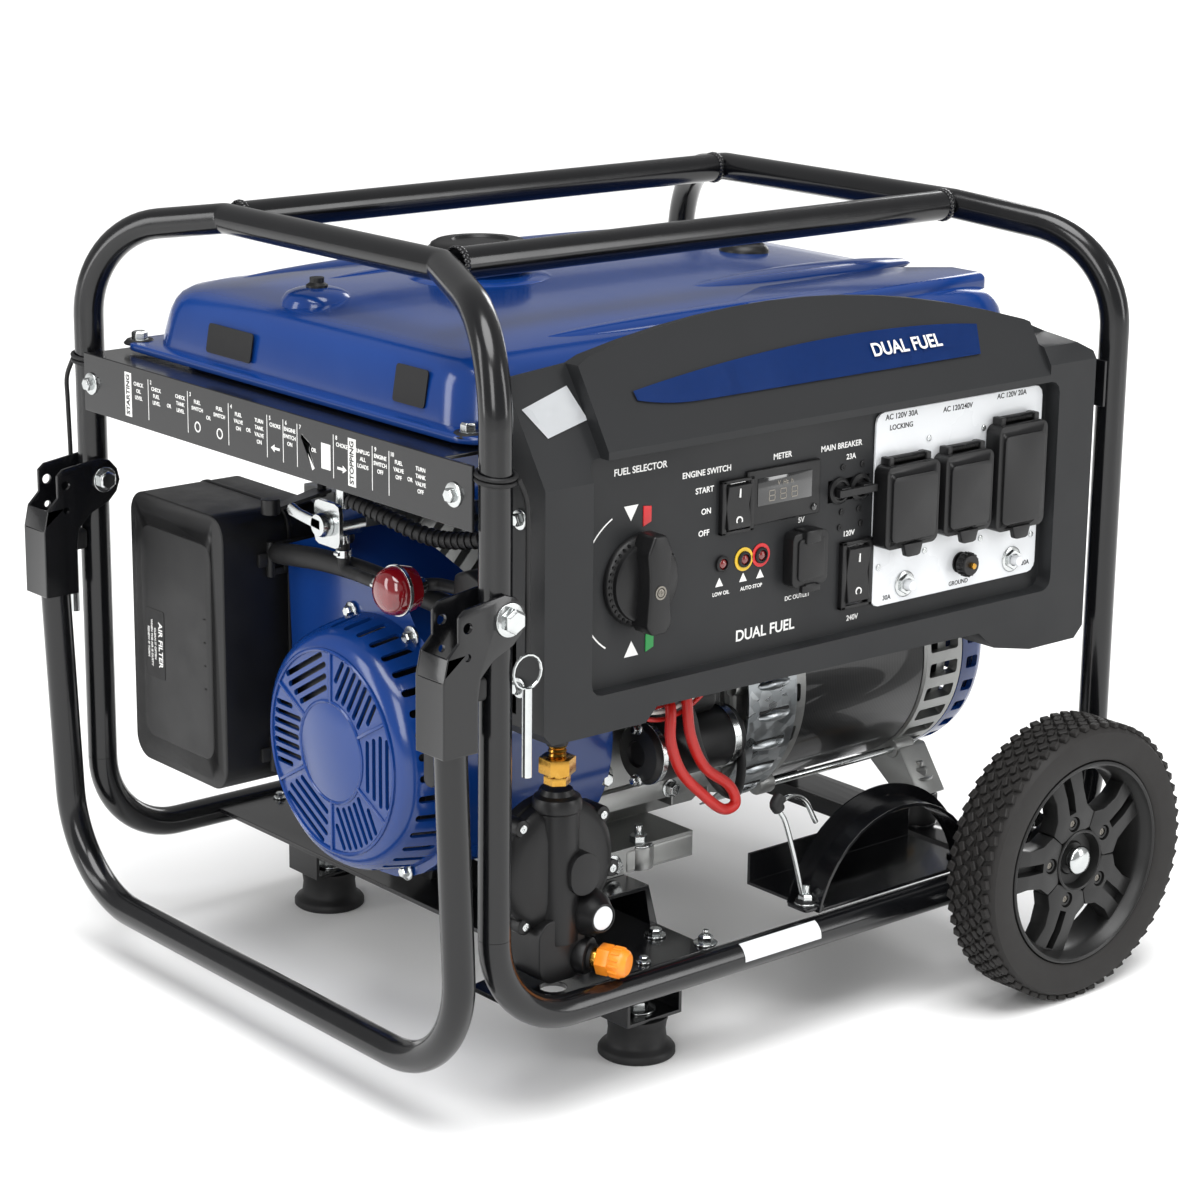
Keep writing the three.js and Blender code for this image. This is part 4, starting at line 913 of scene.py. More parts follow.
class GENERATOR_OT_panel(bpy.types.Operator):
    """Mould the control panel with its blue strip, printed legends and small controls"""

    bl_idname = "generator.panel"
    bl_label = "Control panel"

    def execute(self, context):
        refined("control_panel", "panel", edge=1.6, smooth=32)
        strip = bmesh.new()
        top, bottom = [], []
        for i in range(33):
            t = i / 32
            rise = max(0.0, 1 - t / 0.16) ** 2
            top.append(on_slope(137 + 375 * t, 490 - 15 * ((137 + 375 * t - 390) / 250) ** 2
                                - 3 * t ** 8, 1.8))
            bottom.append(on_slope(138 + 366 * t, 461.5 + 6.5 * rise, 1.8))
        low = [strip.verts.new(p) for p in bottom]
        high = [strip.verts.new(p) for p in top]
        for i in range(32):
            strip.faces.new((low[i], low[i + 1], high[i + 1], high[i]))
        bmesh.ops.solidify(strip, geom=strip.faces[:], thickness=1.4)
        bmesh.ops.recalc_face_normals(strip, faces=strip.faces)
        place_piece("hood_strip", strip, "blue", smooth=20)
        title = bmesh.new()
        spot = on_slope(425, 475.5, 3.4)
        lettering(title, "DUAL FUEL", 15.5, *spot, tilt=31.4)
        place_piece("hood_title", title, "ink")

        legend = bmesh.new()
        y = PANEL_FACE - 0.02
        for words, size, x, z in (
                ("FUEL SELECTOR", 7.4, 140, 417), ("ENGINE SWITCH", 6.6, 207, 405),
                ("START", 6.4, 205, 391), ("ON", 6.4, 207, 374), ("OFF", 6.4, 205, 357),
                ("METER", 6.6, 286, 407), ("MAIN BREAKER", 6.6, 350, 406), ("23A", 6.2, 361, 396),
                ("5V", 6.2, 308, 352), ("120V", 6.2, 361, 333), ("240V", 6.2, 368, 262),
                ("2A", 5.6, 333, 331), ("1A", 5.6, 333, 317), ("LOW OIL", 4.2, 224, 306),
                ("AUTO STOP", 4.2, 256, 306), ("DC OUTLET", 5.0, 306, 290),
                ("DUAL FUEL", 12.5, 272, 268)):
            lettering(legend, words, size, x, y, z)
        # A white arc runs round the selector from one fuel to the other.
        for start, sweep in ((118, 38), (160, 76)):
            edge = [legend.verts.new((KNOB[0] + r * math.cos(math.radians(start)), y,
                                      KNOB[1] + r * math.sin(math.radians(start))))
                    for r in (57.6, 58.8)]
            line = legend.edges.new(edge)
            bmesh.ops.spin(legend, geom=edge + [line], cent=(KNOB[0], y, KNOB[1]), axis=DOWN
                           .cross(RIGHT), angle=math.radians(sweep), steps=20)
        slab(legend, ((124, 390), (138, 390), (131, 378)), "y", y - 0.2, y)
        slab(legend, ((126, 272), (140, 272), (133, 284)), "y", y - 0.2, y)
        for x, z in ((222, 316), (247, 316), (265, 316)):
            slab(legend, ((x - 4, z - 4), (x + 4, z - 4), (x, z + 3)), "y", y - 0.2, y)
        place_piece("panel_legends", legend, "ink")

        for name, key, z in (("mark_liquid", "vermilion", 380), ("mark_gas", "green", 281)):
            mark = bmesh.new()
            x = 147 if z > 300 else 151
            slab(mark, ((x - 4, z - 8), (x + 4, z - 5), (x + 4, z + 7), (x - 4, z + 8)), "y",
                 PANEL_FACE - 0.7, PANEL_FACE + 0.2, 0.2)
            place_piece(name, mark, key)

        frames = bmesh.new()
        for (x0, x1), (z0, z1), wall in (((219.8, 253.4), (353, 396), 4.6),
                                         ((351, 386), (271, 327), 5.2)):
            sill = wall * 0.6
            for low, high in (((x0, z0), (x0 + wall, z1)), ((x1 - wall, z0), (x1, z1)),
                              ((x0, z0), (x1, z0 + sill)), ((x0, z1 - sill), (x1, z1))):
                block(frames, (low[0], -280.5, low[1]), (high[0], -275.5, high[1]), 0.9)
        block(frames, (247, -279.5, 356), (325, -275.5, 400), 1.6, 3)
        for x, z in ((348, 370), (371, 370)):
            spun(frames, (x, -275.5, z), FRONT, ((0, 0), (11, 0), (11, 2.6), (9, 4), (7.6, 4),
                                                 (7, 2), (0, 2)), 36)
        for x, z in LAMPS:
            spun(frames, (x, -275.5, z), FRONT, ((0, 0), (6.4, 0), (6.4, 2.6), (5.4, 3.4),
                                                 (4.6, 3.4), (4.4, 1.6), (0, 1.6)), 32)
        # The breaker's body stands behind the panel and closes its opening.
        block(frames, (336, -272.2, 354), (384, -238, 388), 1.5)
        block(frames, (300, -292, 336), (316, PANEL_FACE, 347), 1.6)
        block(frames, (298, -290, 296), (318, -286, 302), 1.0)
        place_piece("control_bezels", frames, "plastic", smooth=32)

        screen = bmesh.new()
        block(screen, (257, -280.1, 371), (315, -279.2, 393), 0.4)
        spun(screen, (318, -279.3, 362), FRONT, ((0, 0), (3, 0), (3, 1), (2.2, 1.6), (0, 1.6)), 20)
        place_piece("meter_window", screen, "window")
        readout = bmesh.new()
        lettering(readout, "V  Hz  h", 5.0, 286, -280.15, 387)
        for x in (272, 284, 296):
            # Unlit seven-segment figures show faintly.
            for dx, dz, wide, tall in ((0, 4, 6, 0.8), (0, 0, 6, 0.8), (0, -4, 6, 0.8),
                                       (-3, 2, 0.8, 3), (3, 2, 0.8, 3), (-3, -2, 0.8, 3),
                                       (3, -2, 0.8, 3)):
                block(readout, (x + dx - wide / 2, -280.25, 378 + dz - tall / 2),
                      (x + dx + wide / 2, -280.0, 378 + dz + tall / 2))
        place_piece("meter_figures", readout, "steel")

        for name, key, x, z in (("lamp_ring_amber", "amber", 247, 330),
                                ("lamp_ring_red", "vermilion", 265, 330.5)):
            ringed = bmesh.new()
            spun(ringed, (x, -276.2, z), FRONT, ((6.6, 0), (9.4, 0), (9.4, 0.6), (6.6, 0.6)), 40)
            place_piece(name, ringed, key)
        lamps = bmesh.new()
        for x, z in LAMPS:
            bmesh.ops.create_uvsphere(
                lamps, u_segments=20, v_segments=10, radius=4.2,
                matrix=Matrix.Translation((x, -276.6, z)) @ Matrix.Diagonal((1, 0.7, 1, 1)))
        place_piece("warning_lamps", lamps, glow("red lens", "#6A0A0A", 0.05))

        screws = bmesh.new()
        for x, z in ((352, 388.5), (373.6, 388.5), (350.3, 339.3), (373.7, 339.7),
                     (352, 352), (371, 352)):
            cross_screw(screws, (x, PANEL_FACE, z), FRONT, 2.6)
        place_piece("panel_screws", screws, "plastic")
        bolts = bmesh.new()
        for x, z in ((36, 391), (36, 262)):
            hex_bolt(bolts, (x, -262, z), LEFT, 9, 5, washer=8)
        place_piece("panel_side_bolts", bolts, "zinc", edge=0.3)
        notice = bmesh.new()
        corners = [Vector((x, -282.6 + (z - 431) * 44 / 68, z + 0.4)) for x, z in
                   ((55, 450), (97, 458), (89, 482), (41, 471))]
        notice.faces.new([notice.verts.new(p) for p in corners])
        bmesh.ops.solidify(notice, geom=notice.faces[:], thickness=-0.4)
        place_piece("hood_sticker", notice, "white")
        return {"FINISHED"}


KNOB = (140, 331)


class GENERATOR_OT_switches(bpy.types.Operator):
    """Make the selector knob, the rockers and the breaker's lever"""

    bl_idname = "generator.switches"
    bl_label = "Knob and switches"

    def execute(self, context):
        x, z = KNOB
        knob = bmesh.new()
        spun(knob, (x, -276.3, z), FRONT, (
            (0, 0), (36, 0), (36, 1.5), (34.6, 4), (31.5, 6), (30.8, 9.2), (29, 10.4), (0, 10.4)),
            96)
        slab(knob, ((x - 12, z - 31), (x - 7, z - 38), (x + 7, z - 38), (x + 12, z - 31),
                    (x + 10, z - 8), (x + 10, z + 8), (x + 12, z + 26), (x + 6, z + 39),
                    (x - 6, z + 39), (x - 12, z + 26), (x - 10, z + 8), (x - 10, z - 8)),
             "y", -301, -280, 2.2, 3)
        for i in range(40):
            a = math.tau * i / 40
            if abs(math.cos(a)) < 0.42:
                continue
            spot = Vector((x + 33.2 * math.cos(a), -282.2, z + 33.2 * math.sin(a)))
            rod(knob, spot, BACK, 1.3, 5.5, sides=8)
        place_piece("selector_knob_moulding", knob, "plastic", "selector",
                    ("fuel_selector_knob",))
        screw = bmesh.new()
        spun(screw, (x, -300.8, z - 5), FRONT, ((4, 0), (5.4, 0), (5.4, 0.9), (4, 0.9)), 32)
        cross_screw(screw, (x, -300.8, z - 5), FRONT, 3.4)
        place_piece("selector_screw", screw, "steel", "selector")
        refined("engine_rocker", "plastic", "engine_switch", edge=0.7)
        refined("voltage_rocker", "plastic", "voltage_switch", edge=0.7)
        refined("breaker_lever", "plastic", "breaker", edge=0.8)
        for body, cx, cz, reach in (("engine_switch", 236.5, 374.5, 11),
                                    ("voltage_switch", 368.5, 299, 14)):
            marks = bmesh.new()
            block(marks, (cx - 0.6, -282.6, cz + reach - 3.5),
                  (cx + 0.6, -280.6, cz + reach + 3.5))
            spun(marks, (cx, -280.9, cz - reach), FRONT, ((2.4, 0), (3.4, 0), (3.4, 1.3),
                                                          (2.4, 1.3)), 28)
            place_piece(body + "_marks", marks, "ink", body)
        return {"FINISHED"}


COVERS = (("left", 414, 60, 318, 392), ("middle", 479, 56, 319, 392),
          ("right", 542, 58, 313, 408))
RESETS = (("left", 424, 281.5), ("right", 551, 282))


class GENERATOR_OT_outlets(bpy.types.Operator):
    """Fit the white outlet plate, its sockets, lids, buttons and ground terminal"""

    bl_idname = "generator.outlets"
    bl_label = "Outlets"

    def execute(self, context):
        refined("outlet_plate", "white", edge=0.5)
        sockets = bmesh.new()
        for name, x, width, low, high in COVERS:
            middle = (low + high) / 2
            lid = bmesh.new()
            shell = rounded((x - width / 2, x + width / 2), (low, high - 5.5), 7, 8)
            slab(lid, shell, "y", -295.2, -279.4, 1.6, 3)
            inner = rounded((x - width / 2 + 5, x + width / 2 - 5), (low + 6, high - 14), 5, 8)
            slab(lid, inner, "y", -297.6, -294.5, 1.0, 2)
            rod(lid, (x - width / 2 + 7, -285, high - 2.8), RIGHT, 3.7, width - 14, rim=0.8,
                sides=28)
            slab(lid, ((x - 11, low + 3), (x - 8, low - 7), (x - 5, low - 8), (x + 5, low - 8),
                       (x + 8, low - 7), (x + 11, low + 3)), "y", -297.6, -292.5, 0.9)
            for dx in (-width / 2 + 9, width / 2 - 9):
                block(lid, (x + dx - 3, -290.5, high - 9), (x + dx + 3, -280, high + 0.6), 1.2)
            cutter = bmesh.new()
            block(cutter, (x - width / 2 + 4, -291.5, low + 4),
                  (x + width / 2 - 4, -270, high - 11))
            place_piece("outlet_lid_" + name, carved(lid, cutter), "plastic",
                        name + "_outlet_lid", ("outlet_cover_" + name,), smooth=32)
            # Behind the lid: a round or upright socket with its slots.
            spun(sockets, (x, -283.6, middle), FRONT, (
                (0, 0), (17.5, 0), (17.5, 2), (16, 2.8), (0, 2.8)), 48)
        place_piece("sockets", sockets, "plastic")
        slots = bmesh.new()
        for name, x, width, low, high in COVERS:
            middle = (low + high) / 2
            for angle in (90, 210, 330):
                turn = Matrix.Translation((x, 0, middle)) @ Matrix.Rotation(
                    math.radians(angle), 4, "Y")
                block(slots, (8, -286.9, -1.2), (10.5, -286.2, 5.5), 0.3, matrix=turn)
        place_piece("socket_contacts", slots, "brass")

        lid = bmesh.new()
        slab(lid, rounded((289, 327), (301, 345), 6, 8), "y", -288, -276.6, 1.6, 3)
        slab(lid, rounded((294, 322), (306, 340), 4, 8), "y", -289.6, -287.4, 0.8)
        block(lid, (302, -289.6, 296), (314, -284, 303), 1.0)
        place_piece("usb_lid_moulding", lid, "plastic", "usb_lid",
                    ("usb_cover",))

        legend = bmesh.new()
        for words, size, x, z in (
                ("AC 120V 30A", 6.4, 414, 423), ("LOCKING", 6.0, 414, 414),
                ("AC 120/240V", 6.2, 479, 421), ("AC 120V 20A", 6.2, 543, 424),
                ("30A", 5.6, 404, 273), ("20A", 5.6, 569, 276), ("GROUND", 5.2, 488, 272)):
            lettering(legend, words, size, x, PLATE_FACE - 0.02, z)
        place_piece("plate_legends", legend, "plastic")

        screws = bmesh.new()
        for x, z in ((393, 300), (574, 300), (446, 306), (512, 306),
                     (446, 400), (510, 400)):
            cross_screw(screws, (x, PLATE_FACE, z), FRONT, 2.6)
        place_piece("plate_screws", screws, "zinc")

        for name, x, z in RESETS:
            nut = bmesh.new()
            spun(nut, (x, PLATE_FACE, z), FRONT, (
                (5.1, 0), (11, 0), (11, 1), (10, 1.6), (5.1, 1.6)), 40)
            body = bmesh.new()
            rod(body, (x, PLATE_FACE - 1.6, z), FRONT, 8.6, 3.0, sides=6)
            hole = bmesh.new()
            rod(hole, (x, -270, z), FRONT, 5.1, 20, sides=24)
            merge(nut, carved(body, hole))
            place_piece("reset_nut_" + name, nut, "zinc", edge=0.3)
            button = bmesh.new()
            spun(button, (x, -268, z), FRONT, (
                (0, 0), (4.5, 0), (4.5, 19.4), (3.9, 20.6), (2.4, 21), (0, 21)), 36)
            place_piece("reset_plunger_" + name, button, "white", name + "_reset",
                        ("reset_button_" + name,))
        ground = bmesh.new()
        spun(ground, (489, PLATE_FACE, 289), FRONT, (
            (0, 0), (9, 0), (9, 1.4), (5, 1.6), (5, 4), (9.6, 4.6), (9.6, 12), (8.4, 13.6),
            (0, 13.6)), 40)
        for i in range(16):
            turn = Matrix.Translation((489, 0, 289)) @ Matrix.Rotation(math.tau * i / 16, 4, "Y")
            block(ground, (9, -290.5, -0.8), (10.4, -284, 0.8), 0.3, 1, matrix=turn)
        place_piece("ground_knob", ground, "plastic")
        stud = bmesh.new()
        rod(stud, (489, -290, 289), FRONT, 2.6, 5.5, rim=0.6, sides=20)
        place_piece("ground_stud", stud, "brass")
        return {"FINISHED"}


# ---- Engine --------------------------------------------------------------------------------

class GENERATOR_OT_recoil(bpy.types.Operator):
    """Press the recoil housing with its slotted fields, ridges and grip"""

    bl_idname = "generator.recoil"
    bl_label = "Recoil start"

    def execute(self, context):
        width = context.scene.generator_sizes.slot
        cover = bmesh.new()
        spun(cover, SHAFT, RIGHT, (
            (0, 5.4), (38, 5.4), (41, 6.8), (82, 7.2), (88, 8.6), (93, 12), (97, 18), (99.5, 24),
            (105, 55), (102, 55), (96.6, 25), (94, 19), (90.4, 14.2), (86.6, 11.6), (82, 10.4),
            (0, 10.4)), 120)
        cutter = bmesh.new()
        reach = math.tan(math.radians(25.5))
        for field in range(6):
            heading = about_shaft(math.radians(60 * field + 30))
            if field % 2:
                for out in (48.5, 57, 65.5, 74):
                    side = min(out * reach, math.sqrt(max(0, 80 ** 2 - out ** 2))) - 1.5
                    block(cutter, (0, -side, out - width / 2), (20, side, out + width / 2),
                          width * 0.45, 3, matrix=heading)
            else:
                for step in range(-4, 5):
                    across = step * 8.2
                    near = max(math.sqrt(max(0, 45 ** 2 - across ** 2)), abs(across) / reach + 2)
                    far = math.sqrt(80 ** 2 - across ** 2)
                    if far - near > 8:
                        block(cutter, (0, across - width / 2, near), (20, across + width / 2, far),
                              width * 0.45, 3, matrix=heading)
        for i in range(36):
            turn = about_shaft(math.tau * i / 36)
            block(cutter, (21, -3.1, 80), (49, 3.1, 112), 2.6, 3, matrix=turn)
        place_piece("recoil_pressing", carved(cover, cutter), "blue",
                    stands_for=("recoil_cover",), smooth=35)
        ridges = bmesh.new()
        for field in range(6):
            turn = about_shaft(math.radians(60 * field))
            block(ridges, (5.4, -1.5, 40), (9, 1.5, 84), 1.1, 2, matrix=turn)
        for radius in (41.5, 83.0):
            spun(ridges, SHAFT, RIGHT, ((radius - 1.6, 8), (radius - 1.4, 6), (radius, 5.2),
                                        (radius + 1.4, 6), (radius + 1.6, 8)), 96)
        place_piece("recoil_ridges", ridges, "blue")
        drum = bmesh.new()
        spun(drum, SHAFT, RIGHT, ((0, 14), (88, 15), (90, 20), (90, 34), (84, 38), (0, 38)), 64)
        place_piece("rope_drum", drum, "plastic")
        bolts = bmesh.new()
        for angle in (20, 105, 200, 290):
            spot = round_shaft(54, 107, math.radians(angle))
            hex_bolt(bolts, spot, LEFT, 8, 5, washer=7.5)
        hex_bolt(bolts, (54, -104, 262), LEFT, 9, 6, washer=9)
        place_piece("shroud_bolts", bolts, "zinc", edge=0.3)
        refined("fan_shroud", "blue", edge=2.2, smooth=30)
        grip = bmesh.new()
        slab(grip, rounded((-186, -172), (166, 232), 6, 6), "x", 14, 32, 4.5, 4)
        rod(grip, (31, -179, 199), RIGHT, 5, 13, rim=1.2, sides=24)
        place_piece("recoil_grip_moulding", grip, "plastic", "starter_grip",
                    ("recoil_grip",))
        return {"FINISHED"}


class GENERATOR_OT_engine(bpy.types.Operator):
    """Finish the crankcase, cylinder, starter, exhaust and their fasteners"""

    bl_idname = "generator.engine"
    bl_label = "Engine"

    def execute(self, context):
        refined("engine_block", "cast", edge=2.0, smooth=30)
        refined("cylinder_head", "cast", edge=2.0, smooth=30)
        refined("crank_rotor", "steel", "crankshaft", edge=0.8)
        refined("muffler", "steel", edge=2.5, smooth=30)

        ribs = bmesh.new()
        # The crankcase's bolted joint stands proud, with bosses for its bolts.
        spun(ribs, (352, -60, 165), RIGHT, ((60, -6), (101, -6), (103, -4), (103, 3), (101, 5),
                                            (60, 5)), 80)
        joint = [(101 * math.cos(a), 101 * math.sin(a))
                 for a in (math.tau * i / 9 + 0.2 for i in range(9))]
        for y, z in joint:
            rod(ribs, SHAFT + Vector((343, y, z)), RIGHT, 8.5, 16, rim=1.5, sides=24)
        for x in (175, 205, 290, 330):
            block(ribs, (x - 2, -151, 84), (x + 2, -118, 236), 1.2)
        block(ribs, (150, -151.5, 92), (346, -140, 110), 3.0)
        spun(ribs, (330, -150, 132), FRONT, ((0, -3), (17, -3), (17, 4), (14.5, 7), (0, 7)), 40)
        spun(ribs, (206, -150, 128), FRONT, ((0, -3), (12, -3), (12, 7), (10, 9), (0, 9)), 36)
        block(ribs, (226, -166, 42.2), (300, -120, 62), 3.0, 3)
        for y in (-170, 40):
            rod(ribs, (246, y + 12 if y < 0 else y, 42.3), UP, 13, 20, rim=1.5, sides=28)
        place_piece("crankcase_castings", ribs, "cast", smooth=35)

        bolts = bmesh.new()
        for y, z in joint:
            hex_bolt(bolts, SHAFT + Vector((359, y, z)), RIGHT, 8, 5)
        for spot in ((206, -158, 128), (285, -151.5, 101), (172, -151.5, 101)):
            hex_bolt(bolts, spot, FRONT, 11, 7, washer=8)
        hex_bolt(bolts, (246, -158, 62), UP, 13, 8, washer=12, thread=8)
        hex_bolt(bolts, (212, -165, 53), FRONT, 11, 7, washer=9)
        place_piece("crankcase_bolts", bolts, "zinc", edge=0.3)
        filler = bmesh.new()
        spun(filler, (330, -156, 132), FRONT, ((0, 0), (12, 0), (13, 2), (13, 8), (11, 10),
                                               (4, 10), (4, 16), (0, 16)), 40)
        place_piece("oil_filler_plug", filler, "plastic")

        starter = bmesh.new()
        spun(starter, (226, -180, 150), RIGHT, (
            (0, 0), (10, 0), (11, -3), (23, -1), (25.4, 3), (26, 8), (26, 90), (24, 93), (24, 96),
            (0, 96)), 56)
        spun(starter, (240, -178, 186), RIGHT, (
            (0, -1), (10, -1), (13.4, 1), (14, 4), (14, 56), (12, 60), (0, 60)), 44)
        block(starter, (250, -186, 165), (290, -170, 182), 2)
        block(starter, (306, -175, 128), (320, -148.4, 190), 3)
        place_piece("starter_castings", starter, "plastic",
                    stands_for=("starter_motor",))
        trim = bmesh.new()
        spun(trim, (230, -180, 150), RIGHT, ((25.8, 0), (26.7, 0), (26.7, 5), (25.8, 5)), 56)
        spun(trim, (308, -180, 150), RIGHT, ((25.8, 0), (26.9, 0), (26.9, 7), (25.8, 7)), 56)
        for y, z in ((-180, 172), (-180, 128)):
            hex_bolt(trim, (225, y, z), LEFT, 7, 5, washer=5.5)
        for y in (-184, -172):
            hex_bolt(trim, (240, y, 186), LEFT, 7, 4, thread=5)
        place_piece("starter_trim", trim, "zinc", edge=0.3)

        louvres = bmesh.new()
        # A curved guard over the alternator's cooling outlet, with rolled louvres.
        edge = [louvres.verts.new((x, -60, 165 + 116.5)) for x in (349, 356, 363, 370, 377, 384,
                                                                   391, 398, 404)]
        lines = [louvres.edges.new(pair) for pair in zip(edge, edge[1:])]
        bmesh.ops.spin(louvres, geom=edge + lines, cent=SHAFT, axis=RIGHT,
                       angle=math.radians(128), steps=48)
        bmesh.ops.rotate(louvres, cent=SHAFT, verts=louvres.verts,
                         matrix=Matrix.Rotation(math.radians(22), 3, "X"))
        bmesh.ops.solidify(louvres, geom=louvres.faces[:], thickness=1.4)
        bmesh.ops.recalc_face_normals(louvres, faces=louvres.faces)
        for i in range(8):
            turn = about_shaft(math.radians(42 + 13.5 * i))
            place = turn @ Matrix.Translation((378, 0, 116.4))
            bmesh.ops.create_uvsphere(louvres, u_segments=24, v_segments=12, radius=1.0,
                                      matrix=place @ Matrix.Diagonal((19, 5.4, 6.6, 1)))
        place_piece("louvred_guard", louvres, "galvanised", smooth=45)
        # Painted shade: the guard is not pierced, so a dark block in each louvre's mouth stands
        # for the shade inside the opening.
        mouth_painted_shade = bmesh.new()
        for i in range(8):
            turn = about_shaft(math.radians(42 + 13.5 * i))
            block(mouth_painted_shade, (361, 2.6, 116.4), (395, 6.0, 118.9), 1.2, 2, matrix=turn)
        place_piece("louvre_mouth_painted_shade", mouth_painted_shade, "rubber")
        guard = bmesh.new()
        slab(guard, rounded((85, 211), (208, 320), 30, 8), "x", 562, 565, 1.2)
        slots = bmesh.new()
        for row in range(5):
            for column in range(3):
                y, z = 104 + column * 32, 228 + row * 18
                block(slots, (550, y, z), (575, y + 24, z + 6), 2.6, 3)
        place_piece("exhaust_guard", carved(guard, slots), "steel", smooth=32)
        return {"FINISHED"}


class GENERATOR_OT_alternator(bpy.types.Operator):
    """Assemble the alternator's brackets, laminations, vents and tie bolts"""

    bl_idname = "generator.alternator"
    bl_label = "Alternator"

    def execute(self, context):
        bracket = bmesh.new()
        spun(bracket, SHAFT, RIGHT, (
            (16, 372.4), (94, 372.4), (99, 374), (110, 391), (112, 394), (112, 420), (104, 420),
            (104, 400), (16, 384)), 96)
        cutter = bmesh.new()
        for i in range(18):
            turn = about_shaft(math.tau * (i + 0.5) / 18)
            block(cutter, (398, -8, 98), (414, 8, 120), 2.5, 3, matrix=turn)
        place_piece("front_bracket_casting", carved(bracket, cutter), "cast",
                    stands_for=("front_bracket",), smooth=35)
        stack = bmesh.new()
        spun(stack, SHAFT, RIGHT, ((63, 420.4), (109, 420.4), (110, 421.4), (110, 564),
                                   (109, 565), (63, 565)), 96)
        place_piece("stator_stack", stack, "laminations", stands_for=("stator",))
        housing = bmesh.new()
        spun(housing, SHAFT, RIGHT, ((102, 565.4), (110, 565.4), (112, 567.4), (112, 611),
                                     (111, 612), (102, 612)), 96)
        cutter = bmesh.new()
        for i in range(30):
            turn = about_shaft(math.tau * i / 30)
            block(cutter, (572, -6.6, 98), (606, 6.6, 120), 2.4, 3, matrix=turn)
        vents = carved(housing, cutter)
        spun(vents, SHAFT, RIGHT, ((12.4, 590), (102.5, 590), (102.5, 600), (12.4, 600)), 64)
        slab(vents, ((-168, 36.2), (-132, 36.2), (-96, 62), (-24, 62), (12, 36.2), (48, 36.2),
                     (20, 76), (-140, 76)), "x", 568, 602, 2.0)
        place_piece("rear_housing_casting", vents, "cast",
                    stands_for=("rear_bearing_housing",), smooth=35)
        cover = bmesh.new()
        spun(cover, SHAFT, RIGHT, (
            (0, 650), (60, 649.4), (96, 647), (106, 642), (110.6, 636), (112, 630), (112, 612.4),
            (108, 612.4), (108, 629), (103, 637), (94, 642), (0, 645)), 96)
        cutter = bmesh.new()
        for i in range(30):
            turn = about_shaft(math.tau * i / 30)
            block(cutter, (618, -5.6, 98), (632, 5.6, 120), 2.2, 3, matrix=turn)
        for row in range(-4, 5):
            reach = math.sqrt(88 ** 2 - (row * 17) ** 2)
            block(cutter, (635, -60 - reach, 165 + row * 17 - 2.6),
                  (660, -60 + reach, 165 + row * 17 + 2.6), 2.2, 3)
        place_piece("end_cover_pressing", carved(cover, cutter), "blue",
                    stands_for=("alternator_end_cover",), smooth=35)
        ties = bmesh.new()
        for angle in (38, 142, 218, 322):
            spot = round_shaft(408, 117.5, math.radians(angle))
            rod(ties, spot, RIGHT, 3.2, 186, rim=0.6, sides=20)
            hex_bolt(ties, spot + Vector((182, 0, 0)), RIGHT, 10, 6, washer=7, thread=5)
            hex_bolt(ties, spot, LEFT, 10, 6)
        for angle in (8, 98, 188, 278):
            hex_bolt(ties, round_shaft(646.6, 99, math.radians(angle)), RIGHT, 7, 3)
        place_piece("alternator_bolts", ties, "zinc", edge=0.3)
        lugs = bmesh.new()
        for angle in (38, 142, 218, 322):
            a = math.radians(angle)
            for x, deep in ((400, 18), (566, 22)):
                spot = SHAFT + Vector((x, 116 * math.sin(a), 116 * math.cos(a)))
                rod(lugs, spot, RIGHT, 9, deep, rim=1.5, sides=28)
        mounts = bmesh.new()
        for y in (-150, 30):
            hex_bolt(lugs, (585, y, 48), UP, 15, 8, washer=13, thread=6)
            rod(mounts, (585, y, 6.2), UP, 17.6, 29, rim=3, sides=36)
        place_piece("alternator_lugs", lugs, "cast", smooth=35)
        place_piece("alternator_mounts", mounts, "rubber")
        return {"FINISHED"}


